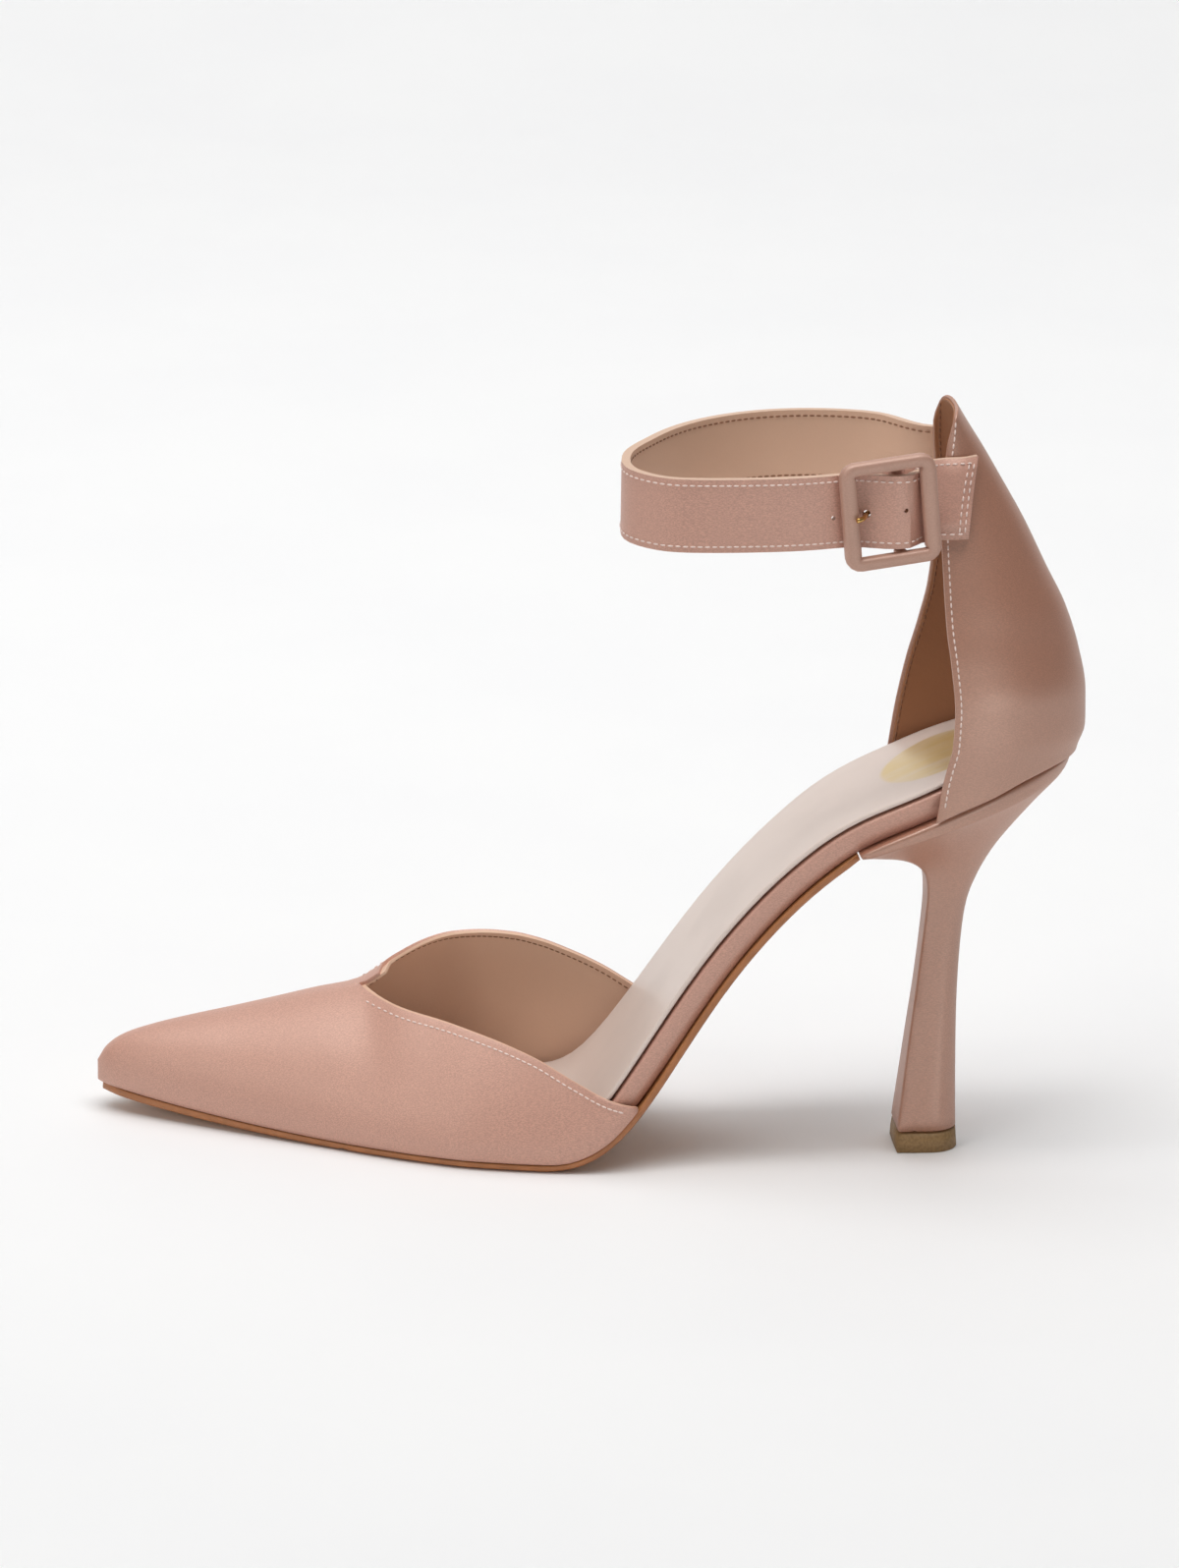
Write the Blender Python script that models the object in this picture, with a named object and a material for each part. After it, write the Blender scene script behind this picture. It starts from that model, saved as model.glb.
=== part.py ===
"""A left pump with a pointed toe, open waist, slim heel and buckled ankle strap.

Metres. +X runs along the heel's own axis towards the toe, +Y to the wearer's left,
which is the outer side of this left shoe, and +Z up. The origin is on the floor, at
the middle of the top lift under the heel.
"""

import math

import bmesh
import bpy
import numpy as np
from mathutils import Matrix, Vector

# Reach of the shoe from the middle of the top lift
TOE_REACH = 0.1968
SEAT_REACH = 0.0332
TOE_SWING = 0.0350

# Heights above the floor
SEAT_RISE = 0.0953
TOE_SPRING = 0.0050
THROAT_HEIGHT = 0.0335
MEDIAL_CREST = 0.0420
TOE_TOP = 0.0120
TAB_TOP = 0.1825

# Half widths across the upper at its lower edge
SEAT_HALF = 0.0251
WAIST_HALF = 0.0218
BALL_HALF = 0.0349

# Walls and layers
UPPER_WALL = 0.0016
TOE_WALL = 0.0054
FIT = 0.0003
OUTSOLE_THICK = 0.0018
BOARD_THICK_REAR = 0.0062
BOARD_THICK_FORE = 0.0030
SOCK_THICK = 0.0012
SOCK_INSET = 0.0008
OUTSOLE_INSET_FORE = 0.0011
OUTSOLE_INSET_WAIST = 0.0027
TUCK = 0.0011
TUCK_HEIGHT = 0.0042
TUCK_RISE = 0.14
END_LIP = 0.0009
TOE_RADIUS = 0.0042

# Where the open waist leaves off
LATERAL_END = 0.0705
MEDIAL_END = 0.0625
NOTCH = 0.1340

# Back quarter
COUNTER_BULGE = 0.0353
TAB_HALF = 0.0116
TAB_SET_BACK = 0.0022
TAB_ROUND = 0.0075

# Heel block and its top lift
HEEL_FRONT = 0.0069
HEEL_BACK = 0.0078
HEEL_HALF = 0.0072
HEEL_NECK_HALF = 0.0044
HEEL_LIP = 0.0190
HEEL_INSET = 0.0005
BREAST_HEIGHT = 0.0750
LIFT_THICK = 0.0048
LIFT_FLARE = 0.0004

# Ankle strap
STRAP_WIDTH = 0.0172
STRAP_THICK = 0.0020
STRAP_HEIGHT = 0.1640
STRAP_TILT = 0.0019
STRAP_REACH = 0.0753
STRAP_LATERAL = 0.0265
STRAP_MEDIAL = 0.0260
STRAP_LAP = 0.0052
HOLE_RADIUS = 0.00055

# Buckle, its centre bar, prong and the short strap that holds it
BUCKLE_X = 0.0152
BUCKLE_Y = 0.0248
BUCKLE_WIDTH = 0.0232
BUCKLE_HEIGHT = 0.0258
BUCKLE_BAR = 0.0039
BUCKLE_END_BAR = 0.0032
BUCKLE_DEPTH = 0.0034
BUCKLE_CORNER = 0.0032
BUCKLE_INNER_CORNER = 0.0009
BUCKLE_EDGE = 0.0010
BUCKLE_TURN = math.radians(10.0)
BUCKLE_LEAN = math.radians(6.0)
BAR_RADIUS = 0.0010
BAR_SET_IN = 0.0040
BAR_SET_BACK = 0.0025
LUG_HALF = 0.0013
LUG_HEIGHT = 0.0017
LOOP_THICK = 0.0012
LOOP_WIDTH = 0.0184
TAB_LAP = 0.0068
TAB_SLANT = 0.0007
PRONG_RADIUS = 0.0006
PRONG_SLOT = 0.0011

# Facets
SOLE_STATIONS = 48
VAMP_OPEN_STATIONS = 13
VAMP_CLOSED_STATIONS = 14
VAMP_ROWS = 9
TUCK_ROWS = 3
COUNTER_ROUND = 26
COUNTER_ROWS = 13
HEEL_ROUND = 7
STRAP_STATIONS = 72
TAB_STATIONS = 48
CORNER_STEPS = 5
PRONG_STEPS = 14
BAR_FACETS = 12

# Underside of the sole from the back of the seat to the ball.
# reach: share of SEAT_REACH behind the lift, of TOE_REACH in front of it
# rise: share of SEAT_RISE
PROFILE = (
    (-1.000, 1.026),
    (-0.820, 1.016),
    (-0.600, 0.994),
    (-0.360, 0.957),
    (-0.120, 0.924),
    (0.018, 0.888),
    (0.056, 0.854),
    (0.097, 0.811),
    (0.122, 0.770),
    (0.158, 0.705),
    (0.203, 0.604),
    (0.244, 0.495),
    (0.290, 0.346),
    (0.330, 0.210),
    (0.359, 0.123),
    (0.386, 0.063),
    (0.412, 0.027),
    (0.437, 0.007),
    (0.462, 0.000),
    (1.000, 0.000),
)
SPRING_START = 0.690

# Outline of the upper's lower edge in front of the seat.
# reach: share of TOE_REACH; swing: share of TOE_SWING; half: of the named half widths
OUTLINE = (
    (0.010, 0.000, 1.000 * SEAT_HALF),
    (0.051, 0.000, 0.982 * SEAT_HALF),
    (0.102, 0.000, 0.930 * SEAT_HALF),
    (0.152, 0.000, 1.020 * WAIST_HALF),
    (0.213, 0.014, 1.000 * WAIST_HALF),
    (0.264, 0.043, 1.015 * WAIST_HALF),
    (0.305, 0.086, 1.070 * WAIST_HALF),
    (0.356, 0.160, 0.745 * BALL_HALF),
    (0.407, 0.257, 0.848 * BALL_HALF),
    (0.457, 0.360, 0.928 * BALL_HALF),
    (0.508, 0.457, 0.980 * BALL_HALF),
    (0.559, 0.543, 1.000 * BALL_HALF),
    (0.610, 0.617, 0.960 * BALL_HALF),
    (0.661, 0.680, 0.880 * BALL_HALF),
    (0.732, 0.757, 0.731 * BALL_HALF),
    (0.833, 0.857, 0.512 * BALL_HALF),
    (0.935, 0.949, 0.278 * BALL_HALF),
    (0.976, 0.985, 0.170 * BALL_HALF),
    (1.000, 1.000, 0.105 * BALL_HALF),
)

# Ridge over the foot: closed in front of the notch, only a guide behind it.
# reach: share of TOE_REACH; height: of the named heights; swing: share of TOE_SWING;
# lateral, medial: roundness of each side, where 2 is an ellipse
RIDGE = (
    (0.315, 2.060 * THROAT_HEIGHT, 0.286, 1.90, 2.10),
    (0.381, 1.870 * THROAT_HEIGHT, 0.400, 1.75, 2.10),
    (0.432, 1.740 * THROAT_HEIGHT, 0.514, 1.60, 2.10),
    (0.483, 1.620 * THROAT_HEIGHT, 0.620, 1.50, 2.10),
    (0.534, 1.500 * THROAT_HEIGHT, 0.700, 1.50, 2.10),
    (0.584, 1.360 * THROAT_HEIGHT, 0.745, 1.50, 2.10),
    (0.635, 1.180 * THROAT_HEIGHT, 0.740, 1.55, 2.05),
    (0.681, 1.000 * THROAT_HEIGHT, 0.735, 1.60, 2.00),
    (0.732, 0.928 * THROAT_HEIGHT, 0.780, 1.70, 2.00),
    (0.783, 0.848 * THROAT_HEIGHT, 0.830, 1.80, 2.00),
    (0.833, 0.774 * THROAT_HEIGHT, 0.875, 1.85, 2.00),
    (0.884, 0.702 * THROAT_HEIGHT, 0.915, 1.95, 2.05),
    (0.935, 0.622 * THROAT_HEIGHT, 0.950, 2.00, 2.10),
    (0.970, 0.542 * THROAT_HEIGHT, 0.980, 2.10, 2.20),
    (0.990, 1.260 * TOE_TOP, 0.994, 2.20, 2.30),
    (1.000, 1.000 * TOE_TOP, 1.000, 2.20, 2.30),
)

# Top edges of the vamp, from its end at the waist to the notch.
# along: share of the way from the end to the notch
# climb: share of the height from the end up to the throat, or up to the medial crest
LATERAL_TOPLINE = (
    (0.000, 0.000),
    (0.102, 0.105),
    (0.228, 0.320),
    (0.386, 0.595),
    (0.543, 0.770),
    (0.700, 0.880),
    (0.858, 0.935),
    (1.000, 1.000),
)
MEDIAL_TOPLINE = (
    (0.000, 0.000),
    (0.077, 0.220),
    (0.161, 0.467),
    (0.273, 0.707),
    (0.385, 0.893),
    (0.469, 0.973),
    (0.566, 1.000),
    (0.678, 0.973),
    (0.790, 0.847),
    (0.902, 0.600),
    (0.960, 0.520),
)

# Back quarter at rising heights.
# rise: share of the way from SEAT_RISE up to TAB_TOP, and below it a share of SEAT_RISE
# back: share of COUNTER_BULGE; lateral, medial: front edges, shares of SEAT_REACH
# half: of the named half widths
COUNTER = (
    (-0.140, 0.900, 0.105, 0.290, 1.012 * SEAT_HALF),
    (-0.075, 0.915, 0.072, 0.253, 1.014 * SEAT_HALF),
    (0.015, 0.935, 0.036, 0.217, 1.020 * SEAT_HALF),
    (0.060, 0.955, 0.010, 0.200, 1.026 * SEAT_HALF),
    (0.120, 1.000, -0.027, 0.172, 1.030 * SEAT_HALF),
    (0.215, 0.996, -0.036, 0.120, 1.026 * SEAT_HALF),
    (0.330, 0.941, -0.009, 0.045, 0.980 * SEAT_HALF),
    (0.445, 0.845, 0.030, -0.009, 0.890 * SEAT_HALF),
    (0.550, 0.712, 0.048, -0.024, 0.800 * SEAT_HALF),
    (0.685, 0.545, 0.063, -0.015, 1.480 * TAB_HALF),
    (0.790, 0.395, 0.054, 0.000, 1.260 * TAB_HALF),
    (0.880, 0.263, 0.030, 0.024, 1.080 * TAB_HALF),
    (0.945, 0.160, 0.010, 0.030, 1.010 * TAB_HALF),
    (1.010, 1.000 * TAB_SET_BACK / COUNTER_BULGE, 0.000, 0.024, 0.980 * TAB_HALF),
)
COUNTER_ROUNDNESS = 2.2

# Heel block from its foot to the seat.
# front, back: shares of the way out from the foot's edge to the lip, or to the seat's back
# front_rise: share of BREAST_HEIGHT; back_rise: share of SEAT_RISE
# half: of the named half widths; seat: how far the outline has turned into the seat's
HEEL = (
    (0.000, 0.068, 0.000, 0.054, 1.00 * HEEL_HALF, 0.00),
    (-0.105, 0.227, -0.016, 0.178, 1.33 * HEEL_NECK_HALF, 0.00),
    (-0.200, 0.373, -0.024, 0.294, 1.17 * HEEL_NECK_HALF, 0.00),
    (-0.300, 0.510, -0.028, 0.402, 1.06 * HEEL_NECK_HALF, 0.00),
    (-0.380, 0.640, -0.016, 0.504, 1.00 * HEEL_NECK_HALF, 0.00),
    (-0.455, 0.760, 0.008, 0.598, 1.02 * HEEL_NECK_HALF, 0.00),
    (-0.488, 0.840, 0.047, 0.656, 1.14 * HEEL_NECK_HALF, 0.00),
    (-0.463, 0.900, 0.098, 0.693, 0.240 * SEAT_HALF, 0.03),
    (-0.347, 0.942, 0.181, 0.743, 0.300 * SEAT_HALF, 0.08),
    (-0.116, 0.976, 0.315, 0.803, 0.405 * SEAT_HALF, 0.17),
    (0.215, 1.000, 0.472, 0.856, 0.540 * SEAT_HALF, 0.32),
    (0.545, 1.016, 0.695, 0.930, 0.715 * SEAT_HALF, 0.55),
    (0.835, 1.030, 0.885, 0.985, 0.865 * SEAT_HALF, 0.80),
    (1.010, 1.035, 0.965, 1.010, 0.960 * SEAT_HALF, 0.93),
)
HEEL_BACK_ROUND = 0.46

# Middle line of the ankle strap seen from above, from the inner side round the front.
# reach: share of STRAP_REACH; side: share of STRAP_LATERAL, or of STRAP_MEDIAL if negative
STRAP_PLAN = (
    (0.157, -0.885),
    (0.228, -0.975),
    (0.376, -1.035),
    (0.526, -0.990),
    (0.680, -0.815),
    (0.837, -0.446),
    (0.919, -0.123),
    (0.976, 0.151),
    (1.000, 0.453),
    (0.988, 0.680),
    (0.951, 0.823),
    (0.883, 0.951),
    (0.818, 0.989),
    (0.717, 1.000),
    (0.584, 0.989),
    (0.465, 0.953),
)
# The strap's way past the buckle.
# along: share of the way from the frame's middle to a side bar
# out: 1 where it lies over the centre bar, 0 where it runs under a side bar
STRAP_WEAVE = (
    (-1.25, 0),
    (-0.82, 0),
    (0.06, 1),
    (0.46, 1),
    (0.86, 0),
    (1.12, 0),
)
# Plain holes of the strap, along it from the centre bar
PLAIN_HOLES = (-0.0130, 0.0036)
# Line of the prong from the centre bar to its tip on the front bar, from the frame's middle
PRONG_LINE = (
    (0.24 * BAR_SET_BACK, -1.00 * BAR_SET_IN),
    (-0.20 * BAR_SET_BACK, -0.94 * BAR_SET_IN),
    (-1.10 * BAR_SET_BACK, -0.94 * BAR_SET_IN),
    (-1.96 * BAR_SET_BACK, -0.56 * BAR_SET_IN),
    (-2.40 * BAR_SET_BACK, -0.04 * BAR_SET_IN),
    (-2.84 * BAR_SET_BACK, 0.44 * BAR_SET_IN),
    (-3.20 * BAR_SET_BACK, 0.64 * BAR_SET_IN),
    (-3.56 * BAR_SET_BACK, 0.69 * BAR_SET_IN),
)


def linear(red, green, blue):
    """Colour of a material, from the values that a screen shows."""
    return tuple(
        (c / 255 / 12.92) if c <= 10 else ((c / 255 + 0.055) / 1.055) ** 2.4
        for c in (red, green, blue)
    )


def material(name, colour, roughness, metallic=0.0):
    made = bpy.data.materials.new(name)
    made.use_nodes = True
    shader = made.node_tree.nodes["Principled BSDF"]
    shader.inputs["Base Color"].default_value = (*colour, 1.0)
    shader.inputs["Roughness"].default_value = roughness
    shader.inputs["Metallic"].default_value = metallic
    made.diffuse_color = (*colour, 1.0)
    return made


def clear_scene():
    for old in list(bpy.data.objects):
        bpy.data.objects.remove(old)


def smooth_curve(places, values):
    """A curve through the points that never swings past them."""
    x = np.asarray(places, float)
    y = np.asarray(values, float)
    step = np.diff(x)
    slope = np.diff(y) / step
    tangent = np.zeros(len(x))
    for i in range(1, len(x) - 1):
        if slope[i - 1] * slope[i] > 0:
            near = 2 * step[i] + step[i - 1]
            far = step[i] + 2 * step[i - 1]
            tangent[i] = (near + far) / (near / slope[i - 1] + far / slope[i])
    tangent[0] = slope[0]
    tangent[-1] = slope[-1]

    def value(at):
        i = int(np.clip(np.searchsorted(x, at) - 1, 0, len(step) - 1))
        t = float(np.clip((at - x[i]) / step[i], 0.0, 1.0))
        near = (1 + 2 * t) * (1 - t) ** 2 * y[i] + t * (1 - t) ** 2 * step[i] * tangent[i]
        far = t * t * (3 - 2 * t) * y[i + 1] + t * t * (t - 1) * step[i] * tangent[i + 1]
        return near + far

    return value


def column(rows, index):
    return [row[index] for row in rows]


def lerp(start, end, share):
    return start + (end - start) * share


def reach(share):
    return share * (TOE_REACH if share > 0 else SEAT_REACH)


PROFILE_RISE = smooth_curve([reach(row[0]) for row in PROFILE], column(PROFILE, 1))
OUTLINE_PLACES = [reach(row[0]) for row in OUTLINE]
OUTLINE_SWING = smooth_curve(OUTLINE_PLACES, column(OUTLINE, 1))
OUTLINE_HALF = smooth_curve(OUTLINE_PLACES, column(OUTLINE, 2))
RIDGE_PLACES = [reach(row[0]) for row in RIDGE]
RIDGE_HEIGHT = smooth_curve(RIDGE_PLACES, column(RIDGE, 1))
RIDGE_SWING = smooth_curve(RIDGE_PLACES, column(RIDGE, 2))
LATERAL_ROUNDNESS = smooth_curve(RIDGE_PLACES, column(RIDGE, 3))
MEDIAL_ROUNDNESS = smooth_curve(RIDGE_PLACES, column(RIDGE, 4))
SEAT_FRONT = OUTLINE_PLACES[0]


def underside(x):
    """Height of the sole's underside."""
    spring = max(0.0, (x / TOE_REACH - SPRING_START) / (1 - SPRING_START))
    return PROFILE_RISE(x) * SEAT_RISE + TOE_SPRING * spring**1.8


def upward(x):
    """Unit vector square to the underside, as (x, z)."""
    small = 0.0004
    slope = (underside(x + small) - underside(x - small)) / (2 * small)
    length = math.hypot(1.0, slope)
    return -slope / length, 1 / length


def layer_point(x, depth):
    """The point that lies depth above the underside, square to it, as (x, z)."""
    across, up = upward(x)
    return x + depth * across, underside(x) + depth * up


def feather(x):
    """Height at this x of the surface that the upper's lower edge stands on."""
    depth = OUTSOLE_THICK + FIT
    foot = x
    for _ in range(6):
        foot = x - depth * upward(foot)[0]
    return layer_point(foot, depth)[1]


def middle(x):
    return -TOE_SWING * OUTLINE_SWING(x)


def half_width(x, inset, back, tip, radius):
    """Half width of a layer that stays inset inside the upper's outline."""
    if x < SEAT_FRONT:
        share = min(1.0, (SEAT_FRONT - x) / (SEAT_FRONT - back))
        power = COUNTER_ROUNDNESS
        return (SEAT_HALF - inset) * (1 - share**power) ** (1 / power)
    half = OUTLINE_HALF(x) - inset
    if x > tip - radius:
        share = min(1.0, (x - tip + radius) / radius)
        half *= math.sqrt(1 - share**2)
    return half


def add_object(name, bm, finish, sharp=40.0):
    """Turns a bmesh into a named object, shaded smooth except at sharp edges."""
    bmesh.ops.remove_doubles(bm, verts=bm.verts, dist=1e-6)
    bmesh.ops.recalc_face_normals(bm, faces=bm.faces)
    if bm.calc_volume(signed=True) < 0:
        bmesh.ops.reverse_faces(bm, faces=bm.faces)
    mesh = bpy.data.meshes.new(name)
    bm.to_mesh(mesh)
    bm.free()
    mesh.materials.append(finish)
    mesh.shade_smooth()
    mesh.set_sharp_from_angle(angle=math.radians(sharp))
    made = bpy.data.objects.new(name, mesh)
    bpy.context.scene.collection.objects.link(made)
    return made


def add_loft(name, rings, finish, sharp=40.0, mirrored=False):
    """A solid through rings of equal length, closed at both ends.

    A mirrored ring starts on the middle line, and its ends are closed in strips
    across that line, so that they may be curved.
    """
    bm = bmesh.new()
    rows = [[bm.verts.new(point) for point in ring] for ring in rings]
    count = len(rows[0])
    for near, far in zip(rows, rows[1:]):
        for i in range(count):
            j = (i + 1) % count
            bm.faces.new((near[i], near[j], far[j], far[i]))
    for row in (rows[0], rows[-1]):
        if mirrored:
            bm.faces.new((row[0], row[1], row[-1]))
            for i in range(1, count // 2):
                bm.faces.new((row[i], row[i + 1], row[count - i - 1], row[count - i]))
        else:
            bm.faces.new(row)
    return add_object(name, bm, finish, sharp)


def sole_places(back, tip):
    """Stations closer together at the rounded back and at the toe."""
    for i in range(SOLE_STATIONS + 1):
        t = i / SOLE_STATIONS
        eased = t - 0.55 * math.sin(2 * math.pi * t) / (2 * math.pi)
        yield lerp(back, tip, eased)


def layer_ring(x, low, high, inset, back, tip, radius, edge, undercut=0.0):
    """Section of a sole layer between two depths, with eased upper edges."""
    half = max(half_width(x, inset, back, tip, radius), 0.0006)
    foot = half - min(undercut, 0.5 * half)
    ease = min(edge, 0.45 * half, 0.45 * (high - low))
    centre = middle(x)
    steps = (
        (foot, low),
        (half, high - ease),
        (half - 0.3 * ease, high - 0.3 * ease),
        (half - ease, high),
        (ease - half, high),
        (0.3 * ease - half, high - 0.3 * ease),
        (-half, high - ease),
        (-foot, low),
    )
    ring = []
    for side, depth in steps:
        along, height = layer_point(x, depth)
        ring.append((along, centre + side, height))
    return ring


def board_thickness(x):
    """The board is stiff and thick under heel and arch, and thin under the toes."""
    share = min(1.0, max(0.0, (x / TOE_REACH - 0.33) / 0.17))
    eased = share * share * (3 - 2 * share)
    return lerp(BOARD_THICK_REAR, BOARD_THICK_FORE, eased)


def outsole_inset(x):
    share = min(1.0, max(0.0, (x / TOE_REACH - 0.30) / 0.12))
    return lerp(OUTSOLE_INSET_WAIST, OUTSOLE_INSET_FORE, share)


def make_outsole(finish):
    tip = TOE_REACH - OUTSOLE_INSET_FORE
    start = HEEL_LIP + FIT / 2
    rings = []
    for i in range(SOLE_STATIONS + 1):
        t = i / SOLE_STATIONS
        x = lerp(start, tip, t + 0.16 * math.sin(math.pi * t) * (1 - t))
        ring = layer_ring(x, 0.0, OUTSOLE_THICK, outsole_inset(x), -SEAT_REACH, tip, TOE_RADIUS, 0.0002)
        rings.append(ring)
    return add_loft("outsole", rings, finish)


def make_board(finish):
    inset = UPPER_WALL + 1.6 * FIT
    back = -SEAT_REACH + inset + FIT
    tip = TOE_REACH - TOE_WALL - 2 * FIT
    low = OUTSOLE_THICK + FIT
    rings = []
    for x in sole_places(back, tip):
        high = low + board_thickness(x)
        rings.append(layer_ring(x, low, high, inset, back, tip, TOE_RADIUS, 0.0012, TUCK))
    return add_loft("insole_board", rings, finish)


def make_sock(finish):
    inset = UPPER_WALL + FIT + SOCK_INSET
    back = -SEAT_REACH + inset + FIT
    tip = TOE_REACH - TOE_WALL - SOCK_INSET - 2 * FIT
    rings = []
    for x in sole_places(back, tip):
        low = OUTSOLE_THICK + 2 * FIT + board_thickness(x)
        high = low + SOCK_THICK
        rings.append(layer_ring(x, low, high, inset, back, tip, TOE_RADIUS, 0.0004))
    return add_loft("insole_sock", rings, finish)


def wall_point(x, side, rise, thin, closing):
    """Point of the vamp at this x; rise runs from 0 at the lower edge to 1 on the ridge.

    side is 1 on the lateral side and -1 on the medial side. thin is how far the
    surface lies inside the outer one. closing is 1, and falls to 0 at the toe's tip.
    """
    base = feather(x)
    edge = middle(x) + side * (OUTLINE_HALF(x) - thin) * closing
    ridge = lerp(middle(x), -TOE_SWING * RIDGE_SWING(x), closing)
    total = max(RIDGE_HEIGHT(x) - thin - base, 0.002)
    tuck_height = min(TUCK_HEIGHT, 0.3 * total)
    if rise < TUCK_RISE:
        share = rise / TUCK_RISE
        y = edge - side * TUCK * closing * (1 - share) ** 2
        return x, y, base + tuck_height * share
    angle = (rise - TUCK_RISE) / (1 - TUCK_RISE) * math.pi / 2
    rounder = (LATERAL_ROUNDNESS if side > 0 else MEDIAL_ROUNDNESS)(x)
    power = lerp((LATERAL_ROUNDNESS(x) + MEDIAL_ROUNDNESS(x)) / 2, rounder, closing)
    spread = max(math.cos(angle), 0.0) ** (2 / power)
    climb = math.sin(angle) ** (2 / power)
    y = ridge + (edge - ridge) * spread
    return x, y, base + lerp(tuck_height, total, climb)


def rise_at_height(x, side, height, thin):
    """The rise at which the wall reaches this height."""
    low, high = 0.0, 1.0
    for _ in range(30):
        mid = (low + high) / 2
        if wall_point(x, side, mid, thin, 1.0)[2] < height:
            low = mid
        else:
            high = mid
    return (low + high) / 2


def topline_height(x, side):
    end = LATERAL_END if side > 0 else MEDIAL_END
    start = feather(end) + END_LIP
    along = (x - end) / (NOTCH - end)
    if side > 0:
        climb = smooth_curve(column(LATERAL_TOPLINE, 0), column(LATERAL_TOPLINE, 1))
        return lerp(start, THROAT_HEIGHT, climb(along))
    notch = (THROAT_HEIGHT - start) / (MEDIAL_CREST - start)
    rows = MEDIAL_TOPLINE + ((1.0, notch),)
    climb = smooth_curve(column(rows, 0), column(rows, 1))
    return lerp(start, MEDIAL_CREST, climb(along))


def vamp_places(side):
    """Stations from the vamp's end at the waist to the notch, then on to the tip."""
    end = LATERAL_END if side > 0 else MEDIAL_END
    for i in range(VAMP_OPEN_STATIONS):
        t = i / VAMP_OPEN_STATIONS
        yield lerp(end, NOTCH, t + 0.12 * math.sin(2 * math.pi * t) / math.pi), 1.0
    for i in range(VAMP_CLOSED_STATIONS + 1):
        t = i / VAMP_CLOSED_STATIONS
        eased = math.sin(t * math.pi / 2) ** 0.9
        x = lerp(NOTCH, TOE_REACH, eased)
        share = max(0.0, (x - TOE_REACH + TOE_RADIUS) / TOE_RADIUS)
        yield x, math.sqrt(max(0.0, 1 - min(1.0, share) ** 2))


def vamp_surface(side, thin):
    """Rows of points over one side of the vamp; every row runs up from the lower edge."""
    rows = []
    bend = 0.86 * TOE_REACH
    inner_tip = TOE_REACH - TOE_WALL
    for index, (x, closing) in enumerate(vamp_places(side)):
        if thin and x > bend:
            x = lerp(bend, inner_tip, (x - bend) / (TOE_REACH - bend))
        last = 1.0
        if index < VAMP_OPEN_STATIONS:
            last = rise_at_height(x, side, topline_height(x, side), thin)
        row = []
        low = min(TUCK_RISE, 0.5 * last)
        for j in range(TUCK_ROWS):
            row.append(wall_point(x, side, low * j / TUCK_ROWS, thin, closing))
        for j in range(VAMP_ROWS + 1):
            row.append(wall_point(x, side, lerp(low, last, j / VAMP_ROWS), thin, closing))
        rows.append(row)
    return rows


def add_shell(name, sheets, finish, sharp=40.0):
    """Closes pairs of outer and inner sheets into one hollow wall.

    Each sheet is an outer grid of points, the inner grid of the same size, how many
    quads of its top edge are free, and whether its last edge is free. An edge that is
    not free is welded to the same edge of the next sheet.
    """
    bm = bmesh.new()
    for outer, inner, free_top, free_end in sheets:
        out = [[bm.verts.new(point) for point in row] for row in outer]
        within = [[bm.verts.new(point) for point in row] for row in inner]
        for grid in (out, within):
            for near, far in zip(grid, grid[1:]):
                for j in range(len(near) - 1):
                    bm.faces.new((near[j], near[j + 1], far[j + 1], far[j]))
        rims = [
            (out[0], within[0]),
            ([row[0] for row in out], [row[0] for row in within]),
            ([row[-1] for row in out][: free_top + 1], [row[-1] for row in within]),
        ]
        if free_end:
            rims.append((out[-1], within[-1]))
        for edge, inner_edge in rims:
            for i in range(len(edge) - 1):
                bm.faces.new((edge[i], edge[i + 1], inner_edge[i + 1], inner_edge[i]))
    return add_object(name, bm, finish, sharp)


def make_vamp(finish):
    sheets = []
    for side in (1, -1):
        outer = vamp_surface(side, 0.0)
        inner = vamp_surface(side, UPPER_WALL)
        sheets.append((outer, inner, VAMP_OPEN_STATIONS, False))
    return add_shell("vamp", sheets, finish)


COUNTER_BACK = smooth_curve(column(COUNTER, 0), column(COUNTER, 1))
COUNTER_LATERAL = smooth_curve(column(COUNTER, 0), column(COUNTER, 2))
COUNTER_MEDIAL = smooth_curve(column(COUNTER, 0), column(COUNTER, 3))
COUNTER_HALF = smooth_curve(column(COUNTER, 0), column(COUNTER, 4))


def counter_point(turn, height, thin):
    """Point of the back quarter; turn runs from -1 at the inner front edge to 1 at the outer."""
    if height > SEAT_RISE:
        share = (height - SEAT_RISE) / (TAB_TOP - SEAT_RISE)
    else:
        share = (height - SEAT_RISE) / SEAT_RISE
    back = -COUNTER_BULGE * COUNTER_BACK(share) + thin
    edge = COUNTER_LATERAL if turn > 0 else COUNTER_MEDIAL
    front = lerp(edge(share), (COUNTER_LATERAL(share) + COUNTER_MEDIAL(share)) / 2, 1 - abs(turn))
    front *= SEAT_REACH
    half = COUNTER_HALF(share) - thin
    angle = abs(turn) * math.pi / 2
    power = 2 / COUNTER_ROUNDNESS
    x = back + (front - back) * (1 - math.cos(angle) ** power)
    y = math.copysign(half * math.sin(angle) ** power, turn)
    return x, y, height


def counter_foot(turn, thin):
    """Height of the back quarter's lower edge, where it stands on the heel and sole."""
    height = SEAT_RISE
    for _ in range(12):
        height = feather(counter_point(turn, height, thin)[0])
    return height


def counter_top(turn):
    return TAB_TOP - TAB_ROUND * (1 - math.sqrt(1 - 0.998 * abs(turn) ** 3.6))


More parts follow.
